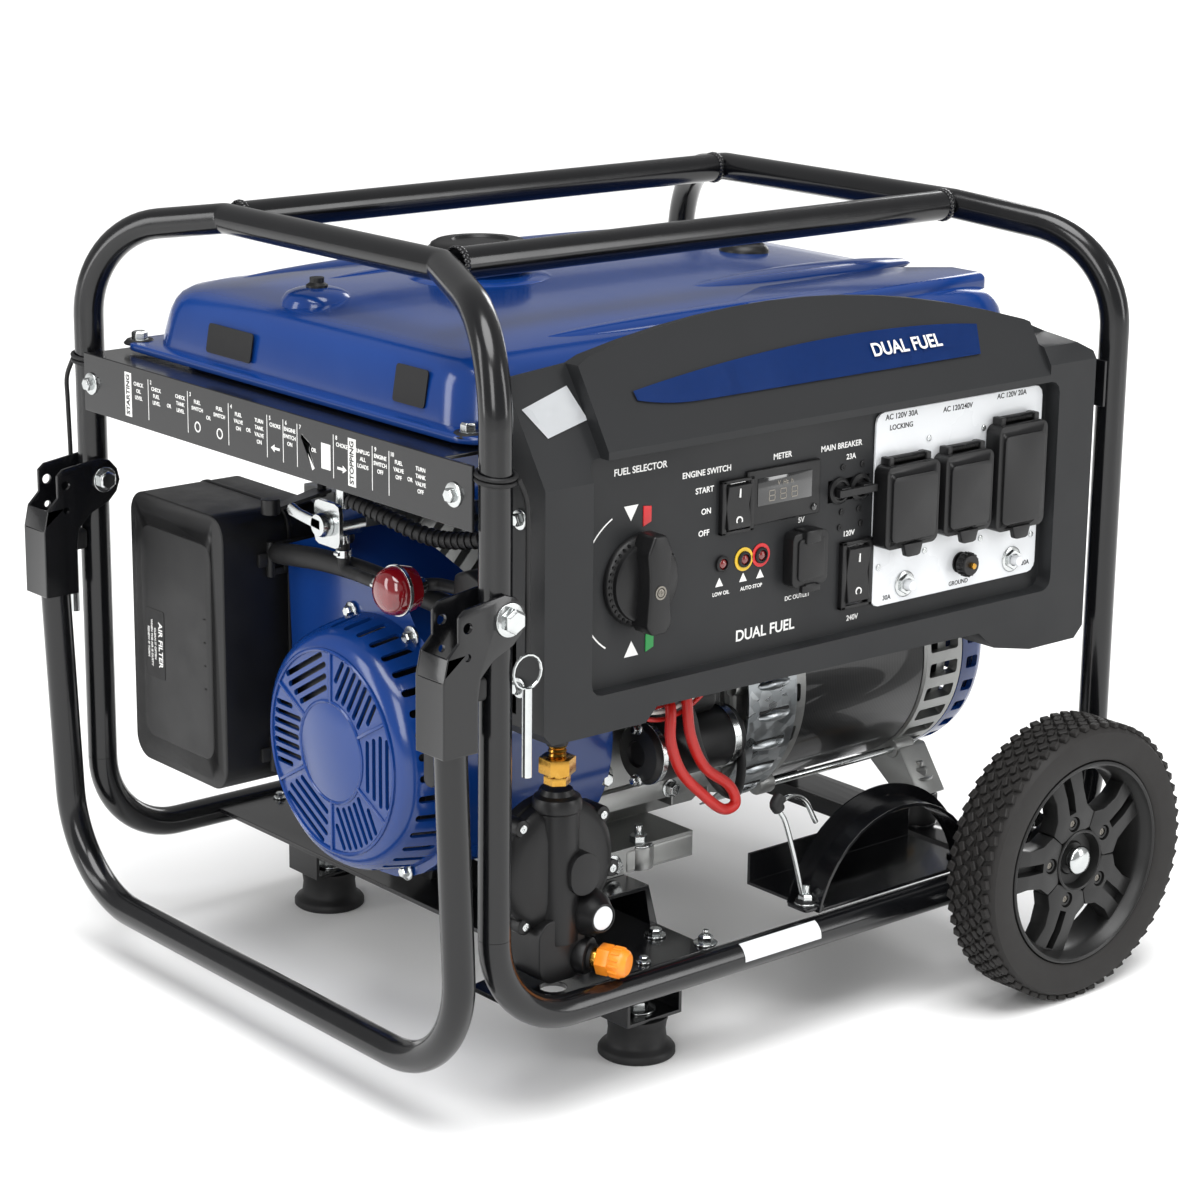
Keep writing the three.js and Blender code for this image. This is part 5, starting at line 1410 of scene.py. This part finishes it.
class GENERATOR_OT_wiring(bpy.types.Operator):
    """Run the starter's leads and the harness behind the panel"""

    bl_idname = "generator.wiring"
    bl_label = "Wiring"

    def execute(self, context):
        radius = context.scene.generator_sizes.wire
        runs = {
            "battery_lead_red": ("red wire", 1.9, (
                (236, -184, 190), (232, -206, 200), (226, -218, 196), (223, -222, 172),
                (233, -224, 145), (255, -225, 122), (278, -225, 104), (293, -224, 106),
                (287, -222, 122), (262, -220, 142), (246, -220, 172), (244, -216, 205),
                (250, -200, 232))),
            "battery_lead_black": ("rubber", 1.7, (
                (238, -172, 192), (244, -200, 204), (250, -214, 190), (258, -216, 160),
                (272, -216, 132), (292, -214, 112), (312, -206, 108), (330, -190, 128),
                (336, -170, 160))),
            "sensor_wire_white": ("white wire", 0.8, (
                (176, -190, 222), (200, -204, 200), (222, -210, 194), (252, -212, 200),
                (282, -206, 214), (300, -196, 236))),
            "sensor_wire_red": ("red wire", 0.8, (
                (178, -192, 212), (202, -206, 193), (226, -212, 188), (256, -212, 196),
                (284, -206, 212), (304, -196, 234))),
            "sensor_wire_black": ("rubber", 0.8, (
                (174, -190, 230), (204, -202, 208), (232, -208, 202), (262, -208, 210),
                (296, -196, 238))),
            "harness": ("rubber", 3.2, (
                (306, -196, 234), (340, -196, 246), (400, -200, 236), (460, -202, 232),
                (520, -200, 238), (560, -190, 226), (600, -178, 206))),
            "ground_strap": ("brass", 0.9, (
                (470, -160, 22), (500, -170, 36), (530, -172, 48), (560, -170, 46))),
        }
        for name, (key, scale, points) in runs.items():
            bm = bmesh.new()
            pipe(bm, flowing(points, 10), radius * scale, 5)
            place_piece(name, bm, key)
        coil = bmesh.new()
        # Corrugated sleeve: one ring every 5 mm along its run under the tank.
        line = flowing(((20, -70, 372), (32, -100, 362), (44, -140, 352), (50, -180, 356),
                        (60, -215, 366)), 12)
        pipe(coil, line, 6.0, 4)
        for here, after in zip(line[::2], line[1::2]):
            rod(coil, here, after - here, 7.2, 2.4, rim=0.8, sides=18)
        place_piece("corrugated_sleeve", coil, "rubber")
        ends = bmesh.new()
        for spot in ((236, -184, 190), (238, -172, 192)):
            hex_bolt(ends, spot, FRONT, 8, 5, washer=6, thread=4)
        place_piece("lead_nuts", ends, "zinc", edge=0.3)
        return {"FINISHED"}


# ---- Air, fuel and gas ---------------------------------------------------------------------

class GENERATOR_OT_air_filter(bpy.types.Operator):
    """Mould the air filter's box, its latch and the carburettor behind it"""

    bl_idname = "generator.air_filter"
    bl_label = "Air filter"

    def execute(self, context):
        cover = bmesh.new()
        slab(cover, rounded((75, 215), (95, 330), 20, 10), "x", -3.6, 60, 4.5, 4)
        slab(cover, rounded((92, 198), (118, 304), 14, 8), "x", -5.0, 4, 1.2, 3)
        for z in (180, 200, 220, 240):
            block(cover, (-5.0, 100, z - 1), (-3, 104, z + 1), 0.5)
        hollow = bmesh.new()
        slab(hollow, rounded((78.5, 211.5), (98.5, 326.5), 17, 8), "x", 1, 70)
        place_piece("filter_cover_moulding", carved(cover, hollow), "plastic",
                    "filter_cover", ("air_filter_cover",), smooth=35)
        base = bmesh.new()
        slab(base, rounded((75, 215), (95, 330), 20, 10), "x", 60.4, 95, 3.0, 3)
        hollow = bmesh.new()
        slab(hollow, rounded((78, 212), (98, 327), 17, 8), "x", 50, 92)
        rod(hollow, (80, 118, 300), RIGHT, 14, 25, sides=32)
        place_piece("filter_base_moulding", carved(base, hollow), "plastic",
                    stands_for=("air_filter_base",), smooth=35)
        band = bmesh.new()
        slab(band, rounded((74, 216), (94, 331), 20.5, 10), "x", 61, 65, 1.0)
        place_piece("filter_seam", band, "plastic", smooth=35)
        plate = bmesh.new()
        slab(plate, rounded((164, 192), (172, 232), 2), "x", -5.3, -4.9)
        place_piece("filter_plate", plate, "rubber", "filter_cover")
        words = bmesh.new()
        for line, size, above in (("AIR FILTER", 8.4, 8), ("CLEAN IT OFTEN", 3.6, 0),
                                  ("WHEN THE AIR IS DUSTY", 3.6, -5), ("RENEW IF TORN", 3.6, -10)):
            lettering(words, line, size, -5.35, 178, 202 + above, turn=-90)
        bmesh.ops.rotate(words, cent=(-5.3, 178, 202), verts=words.verts,
                         matrix=Matrix.Rotation(math.radians(90), 3, "X"))
        place_piece("filter_words", words, "ink", "filter_cover")
        latch = bmesh.new()
        for z in (122, 290):
            block(latch, (40, 71.5, z - 14), (84, 75.5, z - 8), 1.4)
            block(latch, (40, 71.5, z + 8), (84, 75.5, z + 14), 1.4)
            block(latch, (54, 71, z - 12), (64, 75.5, z + 12), 1.4)
            rod(latch, (42, 73, z - 15), UP, 3.4, 30, rim=0.8, sides=20)
            block(latch, (30, 72, z - 6), (46, 75.5, z + 6), 1.6)
        place_piece("filter_latches", latch, "rubber", "frame")
        refined("carburettor", "cast", edge=1.0)
        refined("choke_lever", "plastic", "choke", edge=0.8)
        trim = bmesh.new()
        for x, y, z in ((130, 97, 318), (164, 97, 280), (164, 97, 318), (130, 97, 280)):
            hex_bolt(trim, (x, y, z), FRONT, 6, 4)
        spun(trim, (147, 118, 240), DOWN, ((0, 0), (7, 0), (7, 4), (0, 4)), 24)
        place_piece("carburettor_screws", trim, "zinc", edge=0.3)
        return {"FINISHED"}


class GENERATOR_OT_fuel_line(bpy.types.Operator):
    """Plumb the fuel valve, the red filter bowl and its hoses"""

    bl_idname = "generator.fuel_line"
    bl_label = "Fuel line"

    def execute(self, context):
        refined("fuel_valve_body", "zinc", edge=0.8)
        lever = bmesh.new()
        spun(lever, (13.6, -47, 348), LEFT, ((0, 0), (10, 0), (10, 5), (8.6, 8.6), (0, 8.6)), 36)
        slab(lever, ((-51, 344), (-20, 347.5), (-8, 349), (-5, 352), (-6, 356.5), (-10, 359),
                     (-20, 356), (-51, 353)), "x", 5, 9, 0.9)
        place_piece("fuel_valve_lever_pressing", lever, "zinc", "valve_lever",
                    ("fuel_valve_lever",))
        bowl = bmesh.new()
        spun(bowl, (-2, -139, 314), RIGHT, (
            (0, 0), (8, 0.3), (13, 2), (17, 6), (19, 12), (19.5, 17), (18.6, 23), (17, 29),
            (12, 32), (6, 34), (0, 34)), 56)
        place_piece("filter_bowl", bowl, "red", stands_for=("fuel_filter",))
        hoses = bmesh.new()
        pipe(hoses, bent(((30, -47, 329.7), (30, -47, 308, 10, 8), (16, -92, 314, 10, 8),
                          (14, -122, 314))), 5, 5)
        pipe(hoses, bent(((32, -139, 314), (50, -139, 314, 12, 8), (52, -180, 316, 12, 8),
                          (52, -226, 300))), 5, 5)
        pipe(hoses, flowing(((30, -47, 342), (48, -30, 328), (64, 10, 318), (84, 54, 308),
                             (108, 84, 294)), 8), 4.2, 5)
        place_piece("fuel_hoses", hoses, "rubber")
        breather = bmesh.new()
        pipe(breather, flowing(((58, 84, 292), (44, 62, 297), (40, 30, 302), (40, -10, 306),
                                (41, -62, 307), (48, -110, 302), (56, -150, 296)), 8), 9, 7)
        place_piece("breather_hose", breather, "rubber")
        clips = bmesh.new()
        for centre, axis in (((15, -116, 314), BACK), ((36, -139, 314), RIGHT),
                             ((30, -47, 322), UP), ((52, -219, 302), (0, -0.94, -0.33))):
            spun(clips, centre, axis, ((5.0, -3), (6.3, -3), (6.3, 3), (5.0, 3)), 32)
            block(clips, (Vector(centre) - Vector((3, 3, 0))) + Vector((-5, 0, -1.4)),
                  Vector(centre) + Vector((-5, 3, 1.4)), 0.6)
        spun(clips, (14, -139, 314), RIGHT, ((19.2, -1.5), (20.2, -1.5), (20.2, 1.5),
                                             (19.2, 1.5)), 56)
        place_piece("hose_clips", clips, "zinc", edge=0.2)
        box_cover = bmesh.new()
        slab(box_cover, ((-262, 318), (-196, 338), (-180, 332), (-176, 250), (-196, 238),
                         (-262, 236)), "x", 36, 92, 4, 3)
        place_piece("relay_box", box_cover, "plastic")
        return {"FINISHED"}


# Where the screws sit round the regulator's flange, in degrees.
EARS = (-62, -14, 38, 86, 134, 182, 230)


class GENERATOR_OT_regulator(bpy.types.Operator):
    """Cast the gas regulator with its brass inlet, white disc and orange cap"""

    bl_idname = "generator.regulator"
    bl_label = "Gas regulator"

    def execute(self, context):
        body = bmesh.new()
        spun(body, (89, -220, 104), FRONT, (
            (0, 0), (50, 0), (54, 3), (54, 12), (52.6, 13), (52.6, 16), (54, 17), (54, 24),
            (51, 28), (44, 31), (30, 33.4), (0, 34)), 96)
        for angle in EARS:
            a = math.radians(angle)
            rod(body, (89 + 54 * math.cos(a), -222, 104 + 54 * math.sin(a)), FRONT, 7, 26,
                rim=1.6, sides=28)
        # An upright barrel runs down the front from the outlet to the inlet.
        rod(body, (87, -245, 44), UP, 17.5, 112, rim=1.5, sides=56)
        spun(body, (87, -245, 150), UP, ((0, 0), (17.5, 0), (19.4, 2), (19.4, 9), (18, 12),
                                         (14, 14), (12, 18), (0, 18)), 56)
        slab(body, rounded((60, 106), (14, 66), 15, 8), "y", -258, -222, 5, 4)
        slab(body, rounded((84, 112), (84, 118), 13.5, 10), "y", -267, -240, 2.4, 3)
        spun(body, (111, -244, 64), FRONT, (
            (0, 0), (19.4, 0), (19.4, 10), (17.6, 18), (13, 26), (11.6, 29.6), (10.4, 30),
            (10, 28.6), (0, 28.6)), 56)
        axis = Vector((0.46, -0.88, -0.06)).normalized()
        inlet = Vector((107, -257, 29.5))
        rod(body, inlet - axis * 8, axis, 15, 12, rim=2, sides=40)
        place_piece("regulator_casting", body, "plastic",
                    stands_for=("gas_regulator",), smooth=35)
        screws = bmesh.new()
        for angle in EARS:
            a = math.radians(angle)
            cross_screw(screws, (89 + 54 * math.cos(a), -248, 104 + 54 * math.sin(a)), FRONT, 3.4)
        place_piece("regulator_screws", screws, "zinc")
        disc = bmesh.new()
        spun(disc, (111, -273, 64), FRONT, ((0, -1), (9.6, -1), (9.6, 0.2), (8.4, 1), (0, 1)), 40)
        place_piece("regulator_button", disc, "white")
        brass = bmesh.new()
        rod(brass, (87, -245, 171.5), UP, 10.5, 7, rim=0.6, sides=6)
        spun(brass, (87, -245, 178), UP, ((0, 0), (9, 0), (9, 2), (8, 3), (0, 3)), 40)
        rod(brass, (87, -245, 180.5), UP, 14.5, 13, rim=0.9, sides=6)
        for step in range(5):
            spun(brass, (87, -245, 193.5 + step * 3.4), UP, (
                (0, 0), (6.4, 0), (7.4, 1.4), (6.4, 3.0), (0, 3.0)), 36)
        rod(brass, inlet + axis * 3, axis, 8, 8.5, rim=0.6, sides=36)
        place_piece("brass_fittings", brass, "brass", smooth=32)
        hose = bmesh.new()
        pipe(hose, flowing(((87, -245, 203), (87, -244, 214), (92, -236, 224), (108, -214, 232),
                            (130, -196, 240)), 8), 8.4, 6)
        place_piece("gas_hose", hose, "rubber")
        cap = bmesh.new()
        rod(cap, inlet + axis * 11.4, axis, 12.6, 11, rim=1.4, sides=6)
        spun(cap, inlet + axis * 22, axis, (
            (0, 0), (11.4, 0), (11.8, 1), (11.8, 9), (10.6, 12.6), (8.4, 14.6), (0, 15)), 44)
        for i in range(14):
            turn = turned_frame(inlet + axis * 22, axis) @ Matrix.Rotation(
                math.tau * i / 14, 4, "Z")
            block(cap, (11.2, -1.1, 1.4), (12.7, 1.1, 9), 0.5, 1, matrix=turn)
        place_piece("gas_cap_moulding", cap, "orange", "gas_cap",
                    ("gas_inlet_cap",), smooth=35)
        tether = bmesh.new()
        spun(tether, inlet + axis * 6, axis, ((8.2, -1.4), (10.6, -1.4), (10.6, 1.4),
                                              (8.2, 1.4)), 40)
        place_piece("gas_cap_tether", tether, "rubber")
        return {"FINISHED"}


# ---- Running gear --------------------------------------------------------------------------

class GENERATOR_OT_wheels(bpy.types.Operator):
    """Build both wheels: blocks of tread, split spokes, lug screws and axle caps"""

    bl_idname = "generator.wheels"
    bl_label = "Wheels"

    def execute(self, context):
        tread = context.scene.generator_sizes.tread
        for side, sign in SIDES:
            out = Vector((0, sign, 0))
            body = side + "_wheel"
            tyre = bmesh.new()
            ground = 121.6 - tread
            spun(tyre, WHEEL, out, (
                (89.4, 322), (89.4, 364.4), (91, 366), (96, 367), (108, 368.4), (114, 367.8),
                (ground - 1.2, 364), (ground, 357), (ground, 328), (ground - 1.2, 320),
                (114, 316.2), (108, 315.6), (96, 317), (91, 318)), 112)
            steps = 60
            sector = bmesh.new()
            for along, wide, slew, lag in (
                    (361, 6.4, 0.3, 0.0), (353.4, 5.6, -0.5, 0.5), (346.2, 5.2, 0.5, 0.0),
                    (337.8, 5.2, -0.5, 0.5), (330.6, 5.6, 0.5, 0.0), (323, 6.4, -0.3, 0.5)):
                a = math.tau * (lag - 0.5) / steps
                turn = (Matrix.Translation(WHEEL) @ Matrix.Rotation(a, 4, "Y")
                        @ Matrix.Translation((0, sign * along, ground + tread / 2 - 0.6))
                        @ Matrix.Rotation(slew, 4, "Z"))
                block(sector, (-3.9, -wide / 2, -tread / 2 - 0.6),
                      (3.9, wide / 2, tread / 2 + 0.4), 0.7, 1, matrix=turn)
            # A fine moulding seam runs round the middle of the tread.
            spun(tyre, WHEEL, out, ((ground - 1, 341.4), (ground + 1.6, 341.8),
                                    (ground + 1.6, 342.2), (ground - 1, 342.6)), 112)
            bmesh.ops.spin(sector, geom=sector.verts[:] + sector.edges[:] + sector.faces[:],
                           cent=WHEEL, axis=BACK, angle=math.tau, steps=steps,
                           use_duplicate=True, use_merge=False)
            bmesh.ops.remove_doubles(sector, verts=sector.verts, dist=0.003)
            merge(tyre, sector)
            place_piece("tyre_" + side + "_rubber", tyre, "tyre", body,
                        ("tyre_" + side,), smooth=35)

            rim = bmesh.new()
            spun(rim, WHEEL, out, (
                (79, 340), (82, 324), (88.9, 322), (88.9, 363.4), (88.2, 365.4), (86.6, 366),
                (85, 365.2), (83.4, 361), (80.6, 357.4), (79, 352)), 112)
            # The hub is a deep round recess in the middle of the star.
            spun(rim, WHEEL, out, (
                (8.4, 318), (24, 318), (24, 334), (40, 338), (40, 346), (27, 352), (27, 358.6),
                (25.8, 359.2), (24.6, 358.6), (22.8, 349.4), (15, 348.4), (13.6, 350), (8.4, 350)),
                72)
            arm = bmesh.new()
            outline = [(24, 17.4), (35.6, 25.4), (46, 18.6), (62, 17), (85.4, 21.5)]
            outline = outline + [(r, -s) for r, s in reversed(outline)]
            slab(arm, [(WHEEL.x + r, WHEEL.z + s) for r, s in outline], "y",
                 *sorted((sign * 340, sign * 358)), 1.2, 2)
            # The outer half of each spoke falls away from a crease.
            for reach in (61, 63):
                bmesh.ops.bisect_plane(arm, geom=arm.verts[:] + arm.edges[:] + arm.faces[:],
                                       plane_co=(WHEEL.x + reach, 0, 0), plane_no=RIGHT)
            for vert in arm.verts:
                past = max(0.0, vert.co.x - WHEEL.x - 62)
                vert.co.y -= sign * past * (0.16 if abs(vert.co.y) > 349 else 0)
            groove = bmesh.new()
            slab(groove, [(WHEEL.x + r, WHEEL.z + s) for r, s in (
                (45, -4), (79, -4.6), (79, 4.6), (45, 4))], "y",
                 *sorted((sign * 349, sign * 370)))
            rod(groove, (WHEEL.x + 35, sign * 353, WHEEL.z), out, 6.8, 20, sides=36)
            arm = carved(arm, groove)
            spun(arm, (WHEEL.x + 35, sign * 352.4, WHEEL.z), out, (
                (3.4, 0), (7, 0), (7, 1), (5.4, 4), (3.4, 4)), 32)
            spokes = [math.radians(104 + 72 * spoke) for spoke in range(5)]
            for facing in spokes:
                turned = arm.copy()
                bmesh.ops.rotate(turned, cent=WHEEL, verts=turned.verts,
                                 matrix=Matrix.Rotation(-facing, 3, "Y"))
                merge(rim, turned)
            arm.free()
            place_piece("rim_" + side + "_moulding", rim, "rim", body,
                        ("wheel_rim_" + side,), smooth=35)
            lugs = bmesh.new()
            for facing in spokes:
                spot = (WHEEL.x + 35 * math.cos(facing), sign * 354.4,
                        WHEEL.z + 35 * math.sin(facing))
                cross_screw(lugs, spot, out, 3.2)
            place_piece("rim_screws_" + side, lugs, "steel", body)

            plate = bmesh.new()
            lo, hi = sorted((sign * 291.3, sign * 295))
            slab(plate, ((528, -13), (606, -13), (606, 20), (592, 50), (586, 54), (548, 54),
                         (542, 50), (528, 20)), "y", lo, hi, 0.9)
            spun(plate, (WHEEL.x, sign * 295, WHEEL.z), out, (
                (7, 0), (17, 0), (15, 3), (15, 21), (13.6, 22), (7, 22)), 48)
            place_piece("axle_plate_" + side, plate, "coat",
                        stands_for=("axle_bracket_" + side,))
            axle = bmesh.new()
            rod(axle, (WHEEL.x, sign * 293, WHEEL.z), out, 8, 64, rim=0.8, sides=40)
            spun(axle, (WHEEL.x, sign * 356.4, WHEEL.z), out, (
                (0, 0), (12.6, 0), (12.6, 2.2), (11.6, 3.6), (9, 5.4), (5, 6.4), (0, 6.8)), 56)
            for x, z in ((540, 6), (594, 6), (567, 46)):
                hex_bolt(axle, (x, sign * 295, z), out, 11, 6, washer=9)
            place_piece("axle_" + side, axle, "zinc")
        return {"FINISHED"}


class GENERATOR_OT_handle(bpy.types.Operator):
    """Bend the folding handle and press its two pivot brackets"""

    bl_idname = "generator.handle"
    bl_label = "Handle"

    def execute(self, context):
        radius = context.scene.generator_sizes.tube
        lean = 13.5 / 327
        top, low = -43.5, -30
        bm = bmesh.new()
        pipe(bm, bent((
            (top, -HALF_WIDTH, 288), (top + lean * 56, -HALF_WIDTH, 232, 600, 4),
            (low, -HALF_WIDTH, -37, 90, 20), (low, HALF_WIDTH, -37, 90, 20),
            (top + lean * 56, HALF_WIDTH, 232, 600, 4), (top, HALF_WIDTH, 288))), radius, 10)
        place_piece("handle_tube", bm, "coat", "pull_handle", ("handle",))
        brackets = bmesh.new()
        ear = ((-46, 337), (-40, 342), (-4, 347), (6, 344), (13, 336), (15.5, 326), (12, 316),
               (4, 308), (-14, 300), (-26, 288), (-28.5, 270), (-28.5, 232), (-60, 232),
               (-60, 290), (-56, 308), (-46, 318))
        for _, sign in SIDES:
            for near, far in ((292, 295), (261, 264)):
                slab(brackets, ear, "y", *sorted((sign * near, sign * far)), 0.8)
            lo, hi = sorted((sign * 261, sign * 295))
            block(brackets, (-60, lo, 232), (-57, hi, 290), 1.0)
            block(brackets, (-31.3, lo, 232), (-28.3, hi, 288), 1.0)
            slab(brackets, ((-60, 290), (-57, 290), (-53, 307), (-56, 308)), "y", lo, hi, 0.8)
        holes = bmesh.new()
        for sign in (-1, 1):
            rod(holes, (-38, sign * 310, 328), (0, -sign, 0), 4.2, 60, sides=28)
            rod(holes, (-38, sign * 310, 306), (0, -sign, 0), 3.0, 60, sides=24)
        place_piece("handle_brackets", carved(brackets, holes), "coat",
                    "pull_handle", smooth=32)
        stops = bmesh.new()
        for sign in (-1, 1):
            lo, hi = sorted((sign * 266, sign * 289))
            block(stops, (-27.8, lo, 268), (-14.4, hi, 286), 3.5, 3)
        place_piece("handle_bumpers", stops, "rubber", "pull_handle")
        bolts = bmesh.new()
        for sign in (-1, 1):
            out = Vector((0, sign, 0))
            hex_bolt(bolts, (0, sign * 295, 328), out, 17, 8, washer=13)
            hex_bolt(bolts, (0, sign * 261, 328), -out, 15, 6, washer=11)
            rod(bolts, (0, sign * 259, 328), out, 5, 38, sides=28)
        place_piece("handle_pivot_bolts", bolts, "zinc", edge=0.4)
        return {"FINISHED"}


class GENERATOR_OT_battery_tray(bpy.types.Operator):
    """Form the battery's shelf, its arched strap and the wire bail"""

    bl_idname = "generator.battery_tray"
    bl_label = "Battery tray"

    def execute(self, context):
        refined("battery_tray", "coat", edge=0.7, smooth=25)
        flange = bmesh.new()
        # The strap is a channel: a thin lip stands up along its rear edge.
        centre = Vector((432, -251, -7.4))
        edge = [flange.verts.new((432 + r * math.cos(math.radians(14)), -251.8,
                                  -7.4 + r * math.sin(math.radians(14)))) for r in (96.2, 106)]
        line = flange.edges.new(edge)
        bmesh.ops.spin(flange, geom=edge + [line], cent=centre, axis=FRONT,
                       angle=math.radians(152), steps=48)
        bmesh.ops.solidify(flange, geom=flange.faces[:], thickness=1.6)
        bmesh.ops.recalc_face_normals(flange, faces=flange.faces)
        for x in (338, 526):
            slab(flange, rounded((x - 12, x + 12), (-277, -252), 4, 5), "z", 17, 20, 0.7)
        place_piece("strap_flange", flange, "coat")
        bail = bmesh.new()
        pipe(bail, flowing(((336, -262, 24), (322, -266, 62), (308, -268, 98), (300, -268, 112),
                            (312, -266, 118), (334, -262, 110), (352, -258, 86)), 8), 2.2, 4)
        place_piece("strap_bail", bail, "zinc")
        boot = bmesh.new()
        pipe(boot, flowing(((300, -268, 111), (297, -268, 116), (302, -268, 122)), 5), 5.5, 4)
        spun(boot, (338, -264, 20), UP, ((0, 0), (9, 0), (9, 3), (0, 3)), 32)
        place_piece("strap_boot", boot, "rubber")
        bolts = bmesh.new()
        for x in (338, 526):
            hex_bolt(bolts, (x, -264, 20), UP, 12, 7, washer=10, thread=8)
        place_piece("strap_bolts", bolts, "zinc", edge=0.3)
        sticker = bmesh.new()
        verts = [sticker.verts.new((x, -HALF_WIDTH - 12.9, 0)) for x in (246, 330)]
        line = sticker.edges.new(verts)
        bmesh.ops.spin(sticker, geom=verts + [line], cent=(0, -HALF_WIDTH, 0), axis=RIGHT,
                       angle=math.radians(74), steps=14)
        bmesh.ops.rotate(sticker, cent=(0, -HALF_WIDTH, 0), verts=sticker.verts,
                         matrix=Matrix.Rotation(math.radians(-70), 3, "X"))
        bmesh.ops.solidify(sticker, geom=sticker.faces[:], thickness=0.25)
        place_piece("rail_sticker", sticker, "white")
        return {"FINISHED"}


# ---- Panel and registration ----------------------------------------------------------------

STEPS = (
    GENERATOR_OT_stage, GENERATOR_OT_lanyards, GENERATOR_OT_tubes, GENERATOR_OT_supports,
    GENERATOR_OT_tank, GENERATOR_OT_panel, GENERATOR_OT_switches, GENERATOR_OT_outlets,
    GENERATOR_OT_recoil, GENERATOR_OT_engine, GENERATOR_OT_alternator, GENERATOR_OT_wiring,
    GENERATOR_OT_air_filter, GENERATOR_OT_fuel_line, GENERATOR_OT_regulator,
    GENERATOR_OT_wheels, GENERATOR_OT_handle, GENERATOR_OT_battery_tray,
)


class GENERATOR_PT_builder(bpy.types.Panel):
    """List the generator's settings and its building steps"""

    bl_idname = "GENERATOR_PT_builder"
    bl_label = "Portable Generator"
    bl_space_type = "VIEW_3D"
    bl_region_type = "UI"
    bl_category = "Generator"

    def draw(self, context):
        layout = self.layout
        for group in (context.scene.generator_sizes, context.scene.generator_colours):
            column = layout.column(align=True)
            for name in group.bl_rna.properties.keys():
                if name not in {"rna_type", "name"}:
                    column.prop(group, name)
        for step in STEPS:
            layout.operator(step.bl_idname)


CLASSES = (GeneratorSizes, GeneratorColours, *STEPS, GENERATOR_PT_builder)


def register():
    for cls in CLASSES:
        bpy.utils.register_class(cls)
    bpy.types.Scene.generator_sizes = bpy.props.PointerProperty(type=GeneratorSizes)
    bpy.types.Scene.generator_colours = bpy.props.PointerProperty(type=GeneratorColours)


def unregister():
    del bpy.types.Scene.generator_colours
    del bpy.types.Scene.generator_sizes
    for cls in reversed(CLASSES):
        bpy.utils.unregister_class(cls)


def main():
    register()
    for step in STEPS:
        group, name = step.bl_idname.split(".")
        getattr(getattr(bpy.ops, group), name)()


if __name__ == "__main__":
    main()
